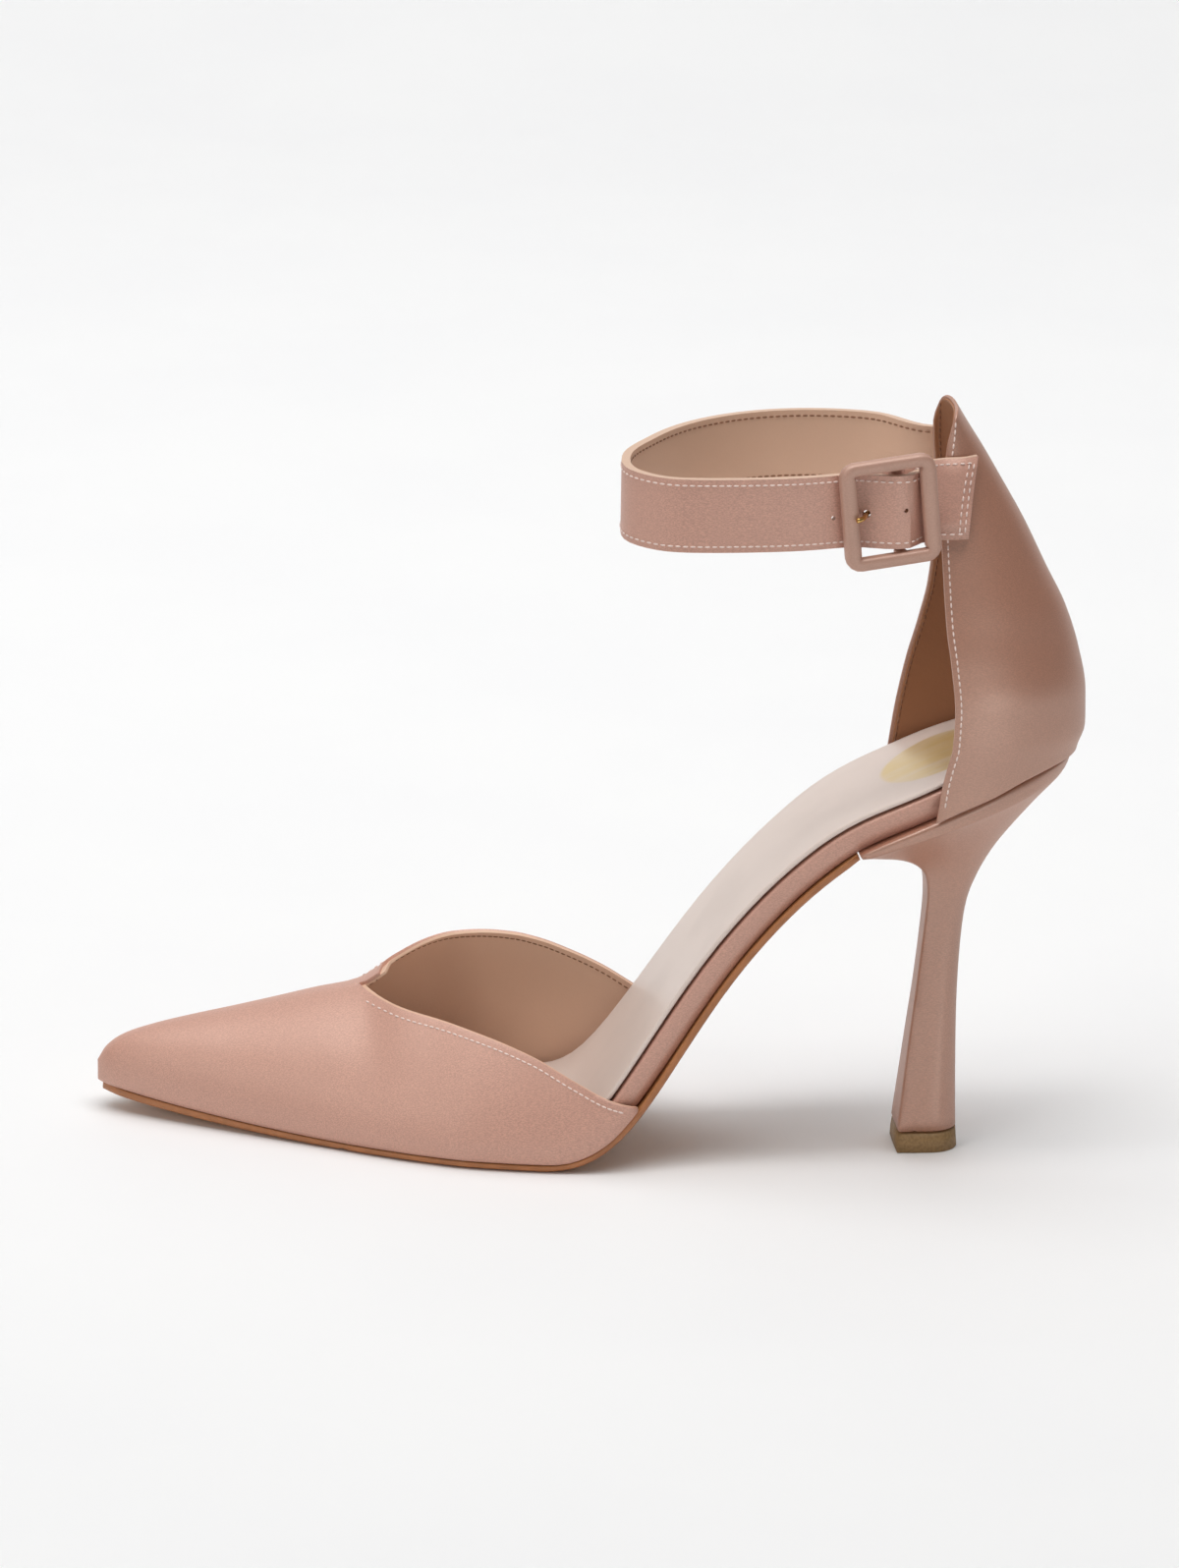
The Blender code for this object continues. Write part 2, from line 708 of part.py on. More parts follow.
def counter_surface(thin):
    grid = []
    for i in range(COUNTER_ROUND + 1):
        turn = 2 * i / COUNTER_ROUND - 1
        low = counter_foot(turn, thin)
        high = counter_top(turn)
        column_points = []
        for j in range(COUNTER_ROWS + 1):
            column_points.append(counter_point(turn, lerp(low, high, j / COUNTER_ROWS), thin))
        grid.append(column_points)
    return grid


def make_counter(finish):
    outer = counter_surface(0.0)
    inner = counter_surface(UPPER_WALL)
    return add_shell("counter", [(outer, inner, COUNTER_ROUND, True)], finish)


def seat_line(x):
    """Half width of the heel's top at this x, flush with the upper's lower edge."""
    return half_width(x, HEEL_INSET, -SEAT_REACH + HEEL_INSET, TOE_REACH, TOE_RADIUS)


def heel_ring(front, back, half, seat):
    """Section of the heel block: flat in front, round behind, as (x, z) ends and a half width."""
    steps = []
    for i in range(HEEL_ROUND + 1):
        angle = i / HEEL_ROUND * math.pi / 2
        steps.append((HEEL_BACK_ROUND * (1 - math.cos(angle)), math.sin(angle)))
    for share in (0.25, 0.5, 0.75, 1.0):
        steps.append((lerp(HEEL_BACK_ROUND, 1.0, share), 1.0))
    seat_back = -SEAT_REACH + HEEL_INSET
    sides = []
    for along, plain in steps:
        seat_share = seat_line(lerp(seat_back, HEEL_LIP, along)) / SEAT_HALF
        x = lerp(back[0], front[0], along)
        z = lerp(back[1], front[1], along)
        sides.append((x, half * lerp(plain, seat_share, seat), z))
    ring = list(sides)
    for x, y, z in reversed(sides[1:]):
        ring.append((x, -y, z))
    return ring


def make_heel(finish):
    rings = []
    seat_back = -SEAT_REACH + HEEL_INSET
    foot = LIFT_THICK + FIT
    for front, front_rise, back, back_rise, half, seat in HEEL:
        lip = HEEL_LIP - HEEL_FRONT
        start = (HEEL_FRONT + front * lip, max(front_rise * BREAST_HEIGHT, foot))
        behind = -HEEL_BACK - back * (-seat_back - HEEL_BACK)
        end = (behind, max(back_rise * SEAT_RISE, foot))
        rings.append(heel_ring(start, end, half, seat))
    top = []
    lip_top = layer_point(HEEL_LIP, OUTSOLE_THICK)[0]
    for x, y, z in heel_ring((lip_top, 0.0), (seat_back, 0.0), SEAT_HALF, 1.0):
        top.append((x, y, feather(x) - FIT))
    rings.append(top)
    return add_loft("heel_block", rings, finish, 50.0, mirrored=True)


def make_lift(finish):
    rings = []
    for height, flare in ((0.0, LIFT_FLARE), (LIFT_THICK, 0.0)):
        front = (HEEL_FRONT + flare, height)
        back = (-HEEL_BACK - flare, height)
        rings.append(heel_ring(front, back, HEEL_HALF + flare, 0.0))
    return add_loft("top_lift", rings, finish, mirrored=True)


def strap_height(y):
    """Height of the strap's middle line; it lies lower on the outer side."""
    return STRAP_HEIGHT - STRAP_TILT * y / STRAP_LATERAL


def buckle_place(along, out, up):
    """A point in the buckle's own directions: back along the strap, outwards, up."""
    spin = Matrix.Rotation(BUCKLE_TURN, 3, "Z") @ Matrix.Rotation(BUCKLE_LEAN, 3, "Y")
    centre = Vector((BUCKLE_X, BUCKLE_Y, strap_height(BUCKLE_Y)))
    return centre + spin @ Vector((-along, out, up))


def strap_route(up):
    """Line of the strap from the back quarter's inner side to its end under the rear bar, for one edge.

    up is -1 for the lower edge, 0 for the middle line and 1 for the upper edge.
    """
    width = up * STRAP_WIDTH / 2
    height = strap_height(-TAB_HALF) + width
    over = -1.6 * FIT - STRAP_THICK / 2
    front = counter_point(-1, height, over)[0]
    route = [counter_at(front - STRAP_LAP * share, height, over, -1) for share in (1.0, 0.5, 0.0)]
    for x_share, y_share in STRAP_PLAN:
        y = y_share * (STRAP_LATERAL if y_share > 0 else STRAP_MEDIAL)
        route.append((x_share * STRAP_REACH, y, strap_height(y) + width))
    under = -(BUCKLE_DEPTH + STRAP_THICK) / 2 - 2.2 * FIT
    over = LOOP_OUTER - BAR_SET_IN + FIT + STRAP_THICK / 2
    side_bar = (BUCKLE_WIDTH - BUCKLE_BAR) / 2
    turned = Matrix.Rotation(BUCKLE_TURN, 3, "Z")
    for along, out in STRAP_WEAVE:
        spot = turned @ Vector((-along * side_bar, over if out > 0 else under, 0.0))
        y = BUCKLE_Y + spot.y
        route.append((BUCKLE_X + spot.x, y, strap_height(y) + width))
    return route


def counter_at(x, height, thin, side):
    """The point of the back quarter at this x, on its outer side or, where side is -1, its inner one."""
    low, high = 0.0, 1.0
    for _ in range(30):
        mid = (low + high) / 2
        if counter_point(side * mid, height, thin)[0] < x:
            low = mid
        else:
            high = mid
    return counter_point(side * low, height, thin)


def tab_route(up):
    """Line of the short strap from the back quarter's outer face round the centre bar."""
    width = up * LOOP_WIDTH / 2
    height = strap_height(TAB_HALF) + width
    over = -1.6 * FIT - LOOP_THICK / 2
    front = counter_point(1, height, over)[0]
    lap = TAB_LAP + up * TAB_SLANT
    route = [counter_at(front - lap * share, height, over, 1) for share in (1.0, 0.5, 0.0)]
    turn_radius = (LOOP_INNER + LOOP_OUTER) / 2
    for along in (5.5, 2.5):
        spot = (BAR_SET_BACK + along * BAR_RADIUS, -BAR_SET_IN - turn_radius, width)
        route.append(buckle_place(*spot))
    for degrees in range(-100, -345, -20):
        angle = math.radians(degrees)
        along = turn_radius * math.cos(angle) + BAR_SET_BACK
        out = turn_radius * math.sin(angle) - BAR_SET_IN
        route.append(buckle_place(along, out, width))
    return route


LOOP_INNER = BAR_RADIUS + FIT
LOOP_OUTER = LOOP_INNER + LOOP_THICK


def natural_curve(places, values):
    """A natural cubic curve through the points."""
    x = np.asarray(places, float)
    y = np.asarray(values, float)
    step = np.diff(x)
    count = len(x)
    system = np.eye(count)
    right = np.zeros(count)
    for i in range(1, count - 1):
        system[i, i - 1] = step[i - 1]
        system[i, i] = 2 * (step[i - 1] + step[i])
        system[i, i + 1] = step[i]
        right[i] = 6 * ((y[i + 1] - y[i]) / step[i] - (y[i] - y[i - 1]) / step[i - 1])
    bend = np.linalg.solve(system, right)

    def value(at):
        i = int(np.clip(np.searchsorted(x, at) - 1, 0, count - 2))
        t = (at - x[i]) / step[i]
        flat = (1 - t) * y[i] + t * y[i + 1]
        near = ((1 - t) ** 3 - (1 - t)) * bend[i]
        return float(flat + step[i] ** 2 / 6 * (near + (t**3 - t) * bend[i + 1]))

    return value


def lengths_of(points):
    lengths = [0.0]
    for near, far in zip(points, points[1:]):
        lengths.append(lengths[-1] + math.dist(near, far))
    return lengths


def through(points, lengths, count):
    """Evenly spaced points on a smooth line through the given ones."""
    curves = [natural_curve(lengths, [point[k] for point in points]) for k in range(3)]
    places = [lengths[-1] * i / count for i in range(count + 1)]
    return [Vector([curve(at) for curve in curves]) for at in places]


def add_band(name, route, thick, count, finish):
    """A strap of even thickness that stands on edge along its route."""
    lengths = lengths_of(route(0))
    lines = [through(route(up), lengths, count) for up in (-1, 0, 1)]
    rings = []
    for i in range(count + 1):
        inner = []
        outer = []
        for line in lines:
            ahead = line[min(i + 1, count)] - line[max(i - 1, 0)]
            out = Vector((ahead.y, -ahead.x, 0.0)).normalized() * thick / 2
            inner.append(line[i] - out)
            outer.append(line[i] + out)
        rings.append(outer + inner[::-1])
    return add_loft(name, rings, finish)


def tube_rings(line, radius, facets):
    """Round sections along a line in the buckle's own directions, as (along, out)."""
    rings = []
    for i, (along, out) in enumerate(line):
        before = line[max(i - 1, 0)]
        after = line[min(i + 1, len(line) - 1)]
        length = math.dist(before, after)
        across = ((after[1] - before[1]) / length, (before[0] - after[0]) / length)
        ring = []
        for k in range(facets):
            angle = 2 * math.pi * k / facets
            side = radius * math.cos(angle)
            up = radius * math.sin(angle)
            ring.append(buckle_place(along + side * across[0], out + side * across[1], up))
        rings.append(ring)
    return rings


def add_helper(name, rings, finish):
    """A solid that only cuts or joins another one."""
    helper = add_loft(name, rings, finish)
    helper.hide_render = True
    helper.display_type = "WIRE"
    return helper


def combine(target, helper, operation):
    step = target.modifiers.new(helper.name, "BOOLEAN")
    step.operation = operation
    step.solver = "EXACT"
    step.object = helper


def box_rings(along, out, up):
    """Two rectangles in the buckle's own directions; each span is a pair of values."""
    corners = ((0, 0), (1, 0), (1, 1), (0, 1))
    return [[buckle_place(along[i], out[j], height) for i, j in corners] for height in up]


def make_strap(finish):
    strap = add_band("ankle_strap", strap_route, STRAP_THICK, STRAP_STATIONS, finish)
    for number, place in enumerate(PLAIN_HOLES):
        line = ((place, -BUCKLE_HEIGHT), (place, BUCKLE_HEIGHT))
        hole = add_helper("hole_%d" % number, tube_rings(line, HOLE_RADIUS, 12), finish)
        combine(strap, hole, "DIFFERENCE")
    near = Vector(PRONG_LINE[3])
    step = Vector(PRONG_LINE[4]) - near
    line = (tuple(near - 1.5 * step), tuple(near + 2 * step))
    hole = add_helper("prong_hole", tube_rings(line, PRONG_RADIUS + 1.2 * FIT, 12), finish)
    combine(strap, hole, "DIFFERENCE")


def make_tab(finish):
    tab = add_band("buckle_strap", tab_route, LOOP_THICK, TAB_STATIONS, finish)
    clear = LOOP_OUTER + FIT
    spans = (BAR_SET_BACK - clear, BAR_SET_BACK + clear), (-BAR_SET_IN - clear, clear - BAR_SET_IN)
    slot = add_helper("prong_slot", box_rings(*spans, (-PRONG_SLOT, PRONG_SLOT)), finish)
    combine(tab, slot, "DIFFERENCE")


def corner_points(half_width, half_height, radius):
    """A rectangle with round corners, as (along, up)."""
    points = []
    for quarter, (side, rise) in enumerate(((1, 1), (-1, 1), (-1, -1), (1, -1))):
        for step in range(CORNER_STEPS + 1):
            angle = (quarter + step / CORNER_STEPS) * math.pi / 2
            along = side * (half_width - radius) + radius * math.cos(angle)
            points.append((along, rise * (half_height - radius) + radius * math.sin(angle)))
    return points


def make_frame(finish):
    half_width = BUCKLE_WIDTH / 2
    half_height = BUCKLE_HEIGHT / 2
    outer = corner_points(half_width, half_height, BUCKLE_CORNER)
    inner = corner_points(half_width - BUCKLE_BAR, half_height - BUCKLE_END_BAR, BUCKLE_INNER_CORNER)
    face = BUCKLE_DEPTH / 2
    edge = BUCKLE_EDGE / BUCKLE_BAR
    section = []
    for share, out in ((0.0, face - BUCKLE_EDGE), (edge, face), (1 - edge, face), (1.0, face - BUCKLE_EDGE)):
        section.append((share, out))
    section += [(share, -out) for share, out in reversed(section)]
    bm = bmesh.new()
    rows = []
    for far, near in zip(outer, inner):
        row = []
        for share, out in section:
            spot = buckle_place(lerp(far[0], near[0], share), out, lerp(far[1], near[1], share))
            row.append(bm.verts.new(spot))
        rows.append(row)
    for near, far in zip(rows, rows[1:] + rows[:1]):
        for i in range(len(section)):
            j = (i + 1) % len(section)
            bm.faces.new((near[i], near[j], far[j], far[i]))
    frame = add_object("buckle_frame", bm, finish, 60.0)
    lug = half_height - BUCKLE_END_BAR + FIT
    foot = lug + LUG_HEIGHT / 2
    rings = []
    for up in (-foot, foot):
        ring = []
        for k in range(BAR_FACETS):
            angle = 2 * math.pi * k / BAR_FACETS
            along = BAR_SET_BACK + BAR_RADIUS * math.cos(angle)
            ring.append(buckle_place(along, BAR_RADIUS * math.sin(angle) - BAR_SET_IN, up))
        rings.append(ring)
    combine(frame, add_helper("centre_bar", rings, finish), "UNION")
    deep = (-BAR_SET_IN - LUG_HALF, 0.0)
    for name, low in (("lower_lug", -lug - LUG_HEIGHT), ("upper_lug", lug)):
        across = (BAR_SET_BACK - LUG_HALF, BAR_SET_BACK + LUG_HALF)
        rings = box_rings(across, deep, (low, low + LUG_HEIGHT))
        combine(frame, add_helper(name, rings, finish), "UNION")


def make_prong(finish):
    radius = BAR_RADIUS + FIT + PRONG_RADIUS
    line = []
    for degrees in range(-10, -171, -20):
        angle = math.radians(degrees)
        along = BAR_SET_BACK + radius * math.cos(angle)
        line.append((along, radius * math.sin(angle) - BAR_SET_IN))
    lengths = lengths_of(PRONG_LINE)
    along = natural_curve(lengths, column(PRONG_LINE, 0))
    out = natural_curve(lengths, column(PRONG_LINE, 1))
    for i in range(PRONG_STEPS + 1):
        at = lengths[-1] * i / PRONG_STEPS
        line.append((along(at), out(at)))
    add_loft("buckle_prong", tube_rings(line, PRONG_RADIUS, 10), finish)


def main():
    clear_scene()
    satin = material("satin", linear(203, 160, 146), 0.42)
    leather = material("sock_leather", linear(222, 194, 176), 0.5)
    sole_leather = material("sole_leather", linear(170, 112, 66), 0.55)
    rubber = material("lift_rubber", linear(150, 116, 78), 0.6)
    gold = material("prong_metal", linear(200, 160, 96), 0.3, 1.0)
    make_outsole(sole_leather)
    make_board(satin)
    make_sock(leather)
    make_vamp(satin)
    make_counter(satin)
    make_heel(satin)
    make_lift(rubber)
    make_strap(satin)
    make_tab(satin)
    make_frame(satin)
    make_prong(gold)


main()
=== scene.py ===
"""Looks of a left satin pump with a pointed toe, slim heel and buckled ankle strap."""

import functools
import math

import bmesh
import bpy
import numpy as np
from mathutils import Matrix, Vector


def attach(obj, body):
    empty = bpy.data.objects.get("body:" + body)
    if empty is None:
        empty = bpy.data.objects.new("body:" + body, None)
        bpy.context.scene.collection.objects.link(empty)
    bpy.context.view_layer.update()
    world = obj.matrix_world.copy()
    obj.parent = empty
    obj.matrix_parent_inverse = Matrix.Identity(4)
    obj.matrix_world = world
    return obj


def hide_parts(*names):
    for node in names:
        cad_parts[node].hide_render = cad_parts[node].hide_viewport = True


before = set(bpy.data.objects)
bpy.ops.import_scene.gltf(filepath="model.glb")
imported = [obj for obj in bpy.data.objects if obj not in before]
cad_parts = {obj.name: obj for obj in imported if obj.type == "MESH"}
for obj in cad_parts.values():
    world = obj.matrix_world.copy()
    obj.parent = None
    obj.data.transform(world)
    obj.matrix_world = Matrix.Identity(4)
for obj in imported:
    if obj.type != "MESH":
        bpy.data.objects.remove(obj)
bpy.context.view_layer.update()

# Sizes of the shoe, as in its source
TOE_REACH = 0.1968
SEAT_REACH = 0.0332
TOE_SWING = 0.0350
SEAT_RISE = 0.0953
TOE_SPRING = 0.0050
THROAT_HEIGHT = 0.0335
MEDIAL_CREST = 0.0420
TOE_TOP = 0.0120
TAB_TOP = 0.1825
SEAT_HALF = 0.0251
WAIST_HALF = 0.0218
BALL_HALF = 0.0349
UPPER_WALL = 0.0016
FIT = 0.0003
OUTSOLE_THICK = 0.0018
TUCK = 0.0011
TUCK_HEIGHT = 0.0042
TUCK_RISE = 0.14
END_LIP = 0.0009
TOE_RADIUS = 0.0042
LATERAL_END = 0.0705
MEDIAL_END = 0.0625
NOTCH = 0.1340
COUNTER_BULGE = 0.0353
TAB_HALF = 0.0116
TAB_SET_BACK = 0.0022
TAB_ROUND = 0.0075
STRAP_WIDTH = 0.0172
STRAP_THICK = 0.0020
STRAP_HEIGHT = 0.1640
STRAP_TILT = 0.0019
STRAP_REACH = 0.0753
STRAP_LATERAL = 0.0265
STRAP_MEDIAL = 0.0260
STRAP_LAP = 0.0052
BUCKLE_X = 0.0152
BUCKLE_Y = 0.0248
BUCKLE_WIDTH = 0.0232
BUCKLE_HEIGHT = 0.0258
BUCKLE_BAR = 0.0039
BUCKLE_END_BAR = 0.0032
BUCKLE_DEPTH = 0.0034
BUCKLE_CORNER = 0.0032
BUCKLE_TURN = math.radians(10.0)
BUCKLE_LEAN = math.radians(6.0)
BAR_RADIUS = 0.0010
BAR_SET_IN = 0.0040
BAR_SET_BACK = 0.0025
LUG_HALF = 0.0013
LOOP_THICK = 0.0012
LOOP_WIDTH = 0.0184
TAB_LAP = 0.0068
TAB_SLANT = 0.0007
LOOP_INNER = BAR_RADIUS + FIT
LOOP_OUTER = LOOP_INNER + LOOP_THICK

# Underside of the sole, as shares of its reach and of the seat's rise
PROFILE = (
    (-1.000, 1.026), (-0.820, 1.016), (-0.600, 0.994), (-0.360, 0.957), (-0.120, 0.924),
    (0.018, 0.888), (0.056, 0.854), (0.097, 0.811), (0.122, 0.770), (0.158, 0.705),
    (0.203, 0.604), (0.244, 0.495), (0.290, 0.346), (0.330, 0.210), (0.359, 0.123),
    (0.386, 0.063), (0.412, 0.027), (0.437, 0.007), (0.462, 0.000), (1.000, 0.000),
)
SPRING_START = 0.690
# Outline of the upper's lower edge: reach, swing and half width
OUTLINE = (
    (0.010, 0.000, 1.000 * SEAT_HALF), (0.051, 0.000, 0.982 * SEAT_HALF),
    (0.102, 0.000, 0.930 * SEAT_HALF), (0.152, 0.000, 1.020 * WAIST_HALF),
    (0.213, 0.014, 1.000 * WAIST_HALF), (0.264, 0.043, 1.015 * WAIST_HALF),
    (0.305, 0.086, 1.070 * WAIST_HALF), (0.356, 0.160, 0.745 * BALL_HALF),
    (0.407, 0.257, 0.848 * BALL_HALF), (0.457, 0.360, 0.928 * BALL_HALF),
    (0.508, 0.457, 0.980 * BALL_HALF), (0.559, 0.543, 1.000 * BALL_HALF),
    (0.610, 0.617, 0.960 * BALL_HALF), (0.661, 0.680, 0.880 * BALL_HALF),
    (0.732, 0.757, 0.731 * BALL_HALF), (0.833, 0.857, 0.512 * BALL_HALF),
    (0.935, 0.949, 0.278 * BALL_HALF), (0.976, 0.985, 0.170 * BALL_HALF),
    (1.000, 1.000, 0.105 * BALL_HALF),
)
# Ridge over the foot: reach, height, swing, roundness of the outer and inner sides
RIDGE = (
    (0.315, 2.060 * THROAT_HEIGHT, 0.286, 1.90, 2.10),
    (0.381, 1.870 * THROAT_HEIGHT, 0.400, 1.75, 2.10),
    (0.432, 1.740 * THROAT_HEIGHT, 0.514, 1.60, 2.10),
    (0.483, 1.620 * THROAT_HEIGHT, 0.620, 1.50, 2.10),
    (0.534, 1.500 * THROAT_HEIGHT, 0.700, 1.50, 2.10),
    (0.584, 1.360 * THROAT_HEIGHT, 0.745, 1.50, 2.10),
    (0.635, 1.180 * THROAT_HEIGHT, 0.740, 1.55, 2.05),
    (0.681, 1.000 * THROAT_HEIGHT, 0.735, 1.60, 2.00),
    (0.732, 0.928 * THROAT_HEIGHT, 0.780, 1.70, 2.00),
    (0.783, 0.848 * THROAT_HEIGHT, 0.830, 1.80, 2.00),
    (0.833, 0.774 * THROAT_HEIGHT, 0.875, 1.85, 2.00),
    (0.884, 0.702 * THROAT_HEIGHT, 0.915, 1.95, 2.05),
    (0.935, 0.622 * THROAT_HEIGHT, 0.950, 2.00, 2.10),
    (0.970, 0.542 * THROAT_HEIGHT, 0.980, 2.10, 2.20),
    (0.990, 1.260 * TOE_TOP, 0.994, 2.20, 2.30),
    (1.000, 1.000 * TOE_TOP, 1.000, 2.20, 2.30),
)
# Top edges of the vamp, from its end at the waist to the notch
LATERAL_TOPLINE = (
    (0.000, 0.000), (0.102, 0.105), (0.228, 0.320), (0.386, 0.595),
    (0.543, 0.770), (0.700, 0.880), (0.858, 0.935), (1.000, 1.000),
)
MEDIAL_TOPLINE = (
    (0.000, 0.000), (0.077, 0.220), (0.161, 0.467), (0.273, 0.707), (0.385, 0.893), (0.469, 0.973),
    (0.566, 1.000), (0.678, 0.973), (0.790, 0.847), (0.902, 0.600), (0.960, 0.520),
)
# Back quarter at rising heights: back, outer and inner front edges, half width
COUNTER = (
    (-0.140, 0.900, 0.105, 0.290, 1.012 * SEAT_HALF),
    (-0.075, 0.915, 0.072, 0.253, 1.014 * SEAT_HALF),
    (0.015, 0.935, 0.036, 0.217, 1.020 * SEAT_HALF),
    (0.060, 0.955, 0.010, 0.200, 1.026 * SEAT_HALF),
    (0.120, 1.000, -0.027, 0.172, 1.030 * SEAT_HALF),
    (0.215, 0.996, -0.036, 0.120, 1.026 * SEAT_HALF),
    (0.330, 0.941, -0.009, 0.045, 0.980 * SEAT_HALF),
    (0.445, 0.845, 0.030, -0.009, 0.890 * SEAT_HALF),
    (0.550, 0.712, 0.048, -0.024, 0.800 * SEAT_HALF),
    (0.685, 0.545, 0.063, -0.015, 1.480 * TAB_HALF),
    (0.790, 0.395, 0.054, 0.000, 1.260 * TAB_HALF),
    (0.880, 0.263, 0.030, 0.024, 1.080 * TAB_HALF),
    (0.945, 0.160, 0.010, 0.030, 1.010 * TAB_HALF),
    (1.010, 1.000 * TAB_SET_BACK / COUNTER_BULGE, 0.000, 0.024, 0.980 * TAB_HALF),
)
COUNTER_ROUNDNESS = 2.2
# Middle line of the ankle strap seen from above, and its way past the buckle
STRAP_PLAN = (
    (0.157, -0.885), (0.228, -0.975), (0.376, -1.035), (0.526, -0.990), (0.680, -0.815),
    (0.837, -0.446), (0.919, -0.123), (0.976, 0.151), (1.000, 0.453), (0.988, 0.680),
    (0.951, 0.823), (0.883, 0.951), (0.818, 0.989), (0.717, 1.000), (0.584, 0.989), (0.465, 0.953),
)
STRAP_WEAVE = ((-1.25, 0), (-0.82, 0), (0.06, 1), (0.46, 1), (0.86, 0), (1.12, 0))

# Camera: the eye of the photograph, its way up and the frame
EYE = Vector((0.2188, 1.5775, 0.5525))
AIM = Vector((0.0815, 0.0, 0.0905))
ROLL = math.radians(0.9)
LENS = 214.0
SENSOR = 36.0


# Curves and surfaces of the shoe

def smooth_curve(places, values):
    """A curve through the points that never swings past them."""
    x = np.asarray(places, float)
    y = np.asarray(values, float)
    step = np.diff(x)
    slope = np.diff(y) / step
    tangent = np.zeros(len(x))
    for i in range(1, len(x) - 1):
        if slope[i - 1] * slope[i] > 0:
            near = 2 * step[i] + step[i - 1]
            far = step[i] + 2 * step[i - 1]
            tangent[i] = (near + far) / (near / slope[i - 1] + far / slope[i])
    tangent[0] = slope[0]
    tangent[-1] = slope[-1]

    def value(at):
        i = min(max(int(np.searchsorted(x, at)) - 1, 0), len(step) - 1)
        t = min(max((at - x[i]) / step[i], 0.0), 1.0)
        near = (1 + 2 * t) * (1 - t) ** 2 * y[i] + t * (1 - t) ** 2 * step[i] * tangent[i]
        far = t * t * (3 - 2 * t) * y[i + 1] + t * t * (t - 1) * step[i] * tangent[i + 1]
        return near + far

    return value


def natural_curve(places, values):
    """A natural cubic curve through the points."""
    x = np.asarray(places, float)
    y = np.asarray(values, float)
    step = np.diff(x)
    count = len(x)
    system = np.eye(count)
    right = np.zeros(count)
    for i in range(1, count - 1):
        system[i, i - 1 : i + 2] = step[i - 1], 2 * (step[i - 1] + step[i]), step[i]
        right[i] = 6 * ((y[i + 1] - y[i]) / step[i] - (y[i] - y[i - 1]) / step[i - 1])
    bend = np.linalg.solve(system, right)

    def value(at):
        i = min(max(int(np.searchsorted(x, at)) - 1, 0), count - 2)
        t = (at - x[i]) / step[i]
        near = ((1 - t) ** 3 - (1 - t)) * bend[i]
        return float((1 - t) * y[i] + t * y[i + 1] + step[i] ** 2 / 6 * (near + (t**3 - t) * bend[i + 1]))

    return value


def column(rows, index):
    return [row[index] for row in rows]


def lerp(start, end, share):
    return start + (end - start) * share


def ease(share):
    share = min(1.0, max(0.0, share))
    return share * share * (3 - 2 * share)


def reach(share):
    return share * (TOE_REACH if share > 0 else SEAT_REACH)


PROFILE_RISE = smooth_curve([reach(row[0]) for row in PROFILE], column(PROFILE, 1))
OUTLINE_PLACES = [reach(row[0]) for row in OUTLINE]
OUTLINE_SWING = smooth_curve(OUTLINE_PLACES, column(OUTLINE, 1))
OUTLINE_HALF = smooth_curve(OUTLINE_PLACES, column(OUTLINE, 2))
RIDGE_PLACES = [reach(row[0]) for row in RIDGE]
RIDGE_HEIGHT, RIDGE_SWING, LATERAL_ROUNDNESS, MEDIAL_ROUNDNESS = (
    smooth_curve(RIDGE_PLACES, column(RIDGE, k)) for k in (1, 2, 3, 4)
)
COUNTER_BACK, COUNTER_LATERAL, COUNTER_MEDIAL, COUNTER_HALF = (
    smooth_curve(column(COUNTER, 0), column(COUNTER, k)) for k in (1, 2, 3, 4)
)


def underside(x):
    spring = max(0.0, (x / TOE_REACH - SPRING_START) / (1 - SPRING_START))
    return PROFILE_RISE(x) * SEAT_RISE + TOE_SPRING * spring**1.8


def upward(x):
    small = 0.0004
    slope = (underside(x + small) - underside(x - small)) / (2 * small)
    length = math.hypot(1.0, slope)
    return -slope / length, 1 / length


def layer_point(x, depth):
    """The point that lies depth above the underside, square to it, as (x, z)."""
    across, up = upward(x)
    return x + depth * across, underside(x) + depth * up


def feather(x):
    """Height at this x of the surface that the upper's lower edge stands on."""
    depth = OUTSOLE_THICK + FIT
    foot = x
    for _ in range(5):
        foot = x - depth * upward(foot)[0]
    return layer_point(foot, depth)[1]


FEATHER_PLACES = [lerp(-0.036, 0.197, i / 300) for i in range(301)]
FEATHER = smooth_curve(FEATHER_PLACES, [feather(x) for x in FEATHER_PLACES])


def middle(x):
    return -TOE_SWING * OUTLINE_SWING(x)


def wall_point(x, side, rise, thin, closing=1.0):
    """Point of the vamp at this x; rise runs from 0 at the lower edge to 1 on the ridge."""
    base = FEATHER(x)
    edge = middle(x) + side * (OUTLINE_HALF(x) - thin) * closing
    ridge = lerp(middle(x), -TOE_SWING * RIDGE_SWING(x), closing)
    total = max(RIDGE_HEIGHT(x) - thin - base, 0.002)
    tuck_height = min(TUCK_HEIGHT, 0.3 * total)
    if rise < TUCK_RISE:
        share = rise / TUCK_RISE
        return Vector((x, edge - side * TUCK * closing * (1 - share) ** 2, base + tuck_height * share))
    angle = (rise - TUCK_RISE) / (1 - TUCK_RISE) * math.pi / 2
    rounder = (LATERAL_ROUNDNESS if side > 0 else MEDIAL_ROUNDNESS)(x)
    power = lerp((LATERAL_ROUNDNESS(x) + MEDIAL_ROUNDNESS(x)) / 2, rounder, closing)
    spread = max(math.cos(angle), 0.0) ** (2 / power)
    climb = math.sin(angle) ** (2 / power)
    return Vector((x, ridge + (edge - ridge) * spread, base + lerp(tuck_height, total, climb)))


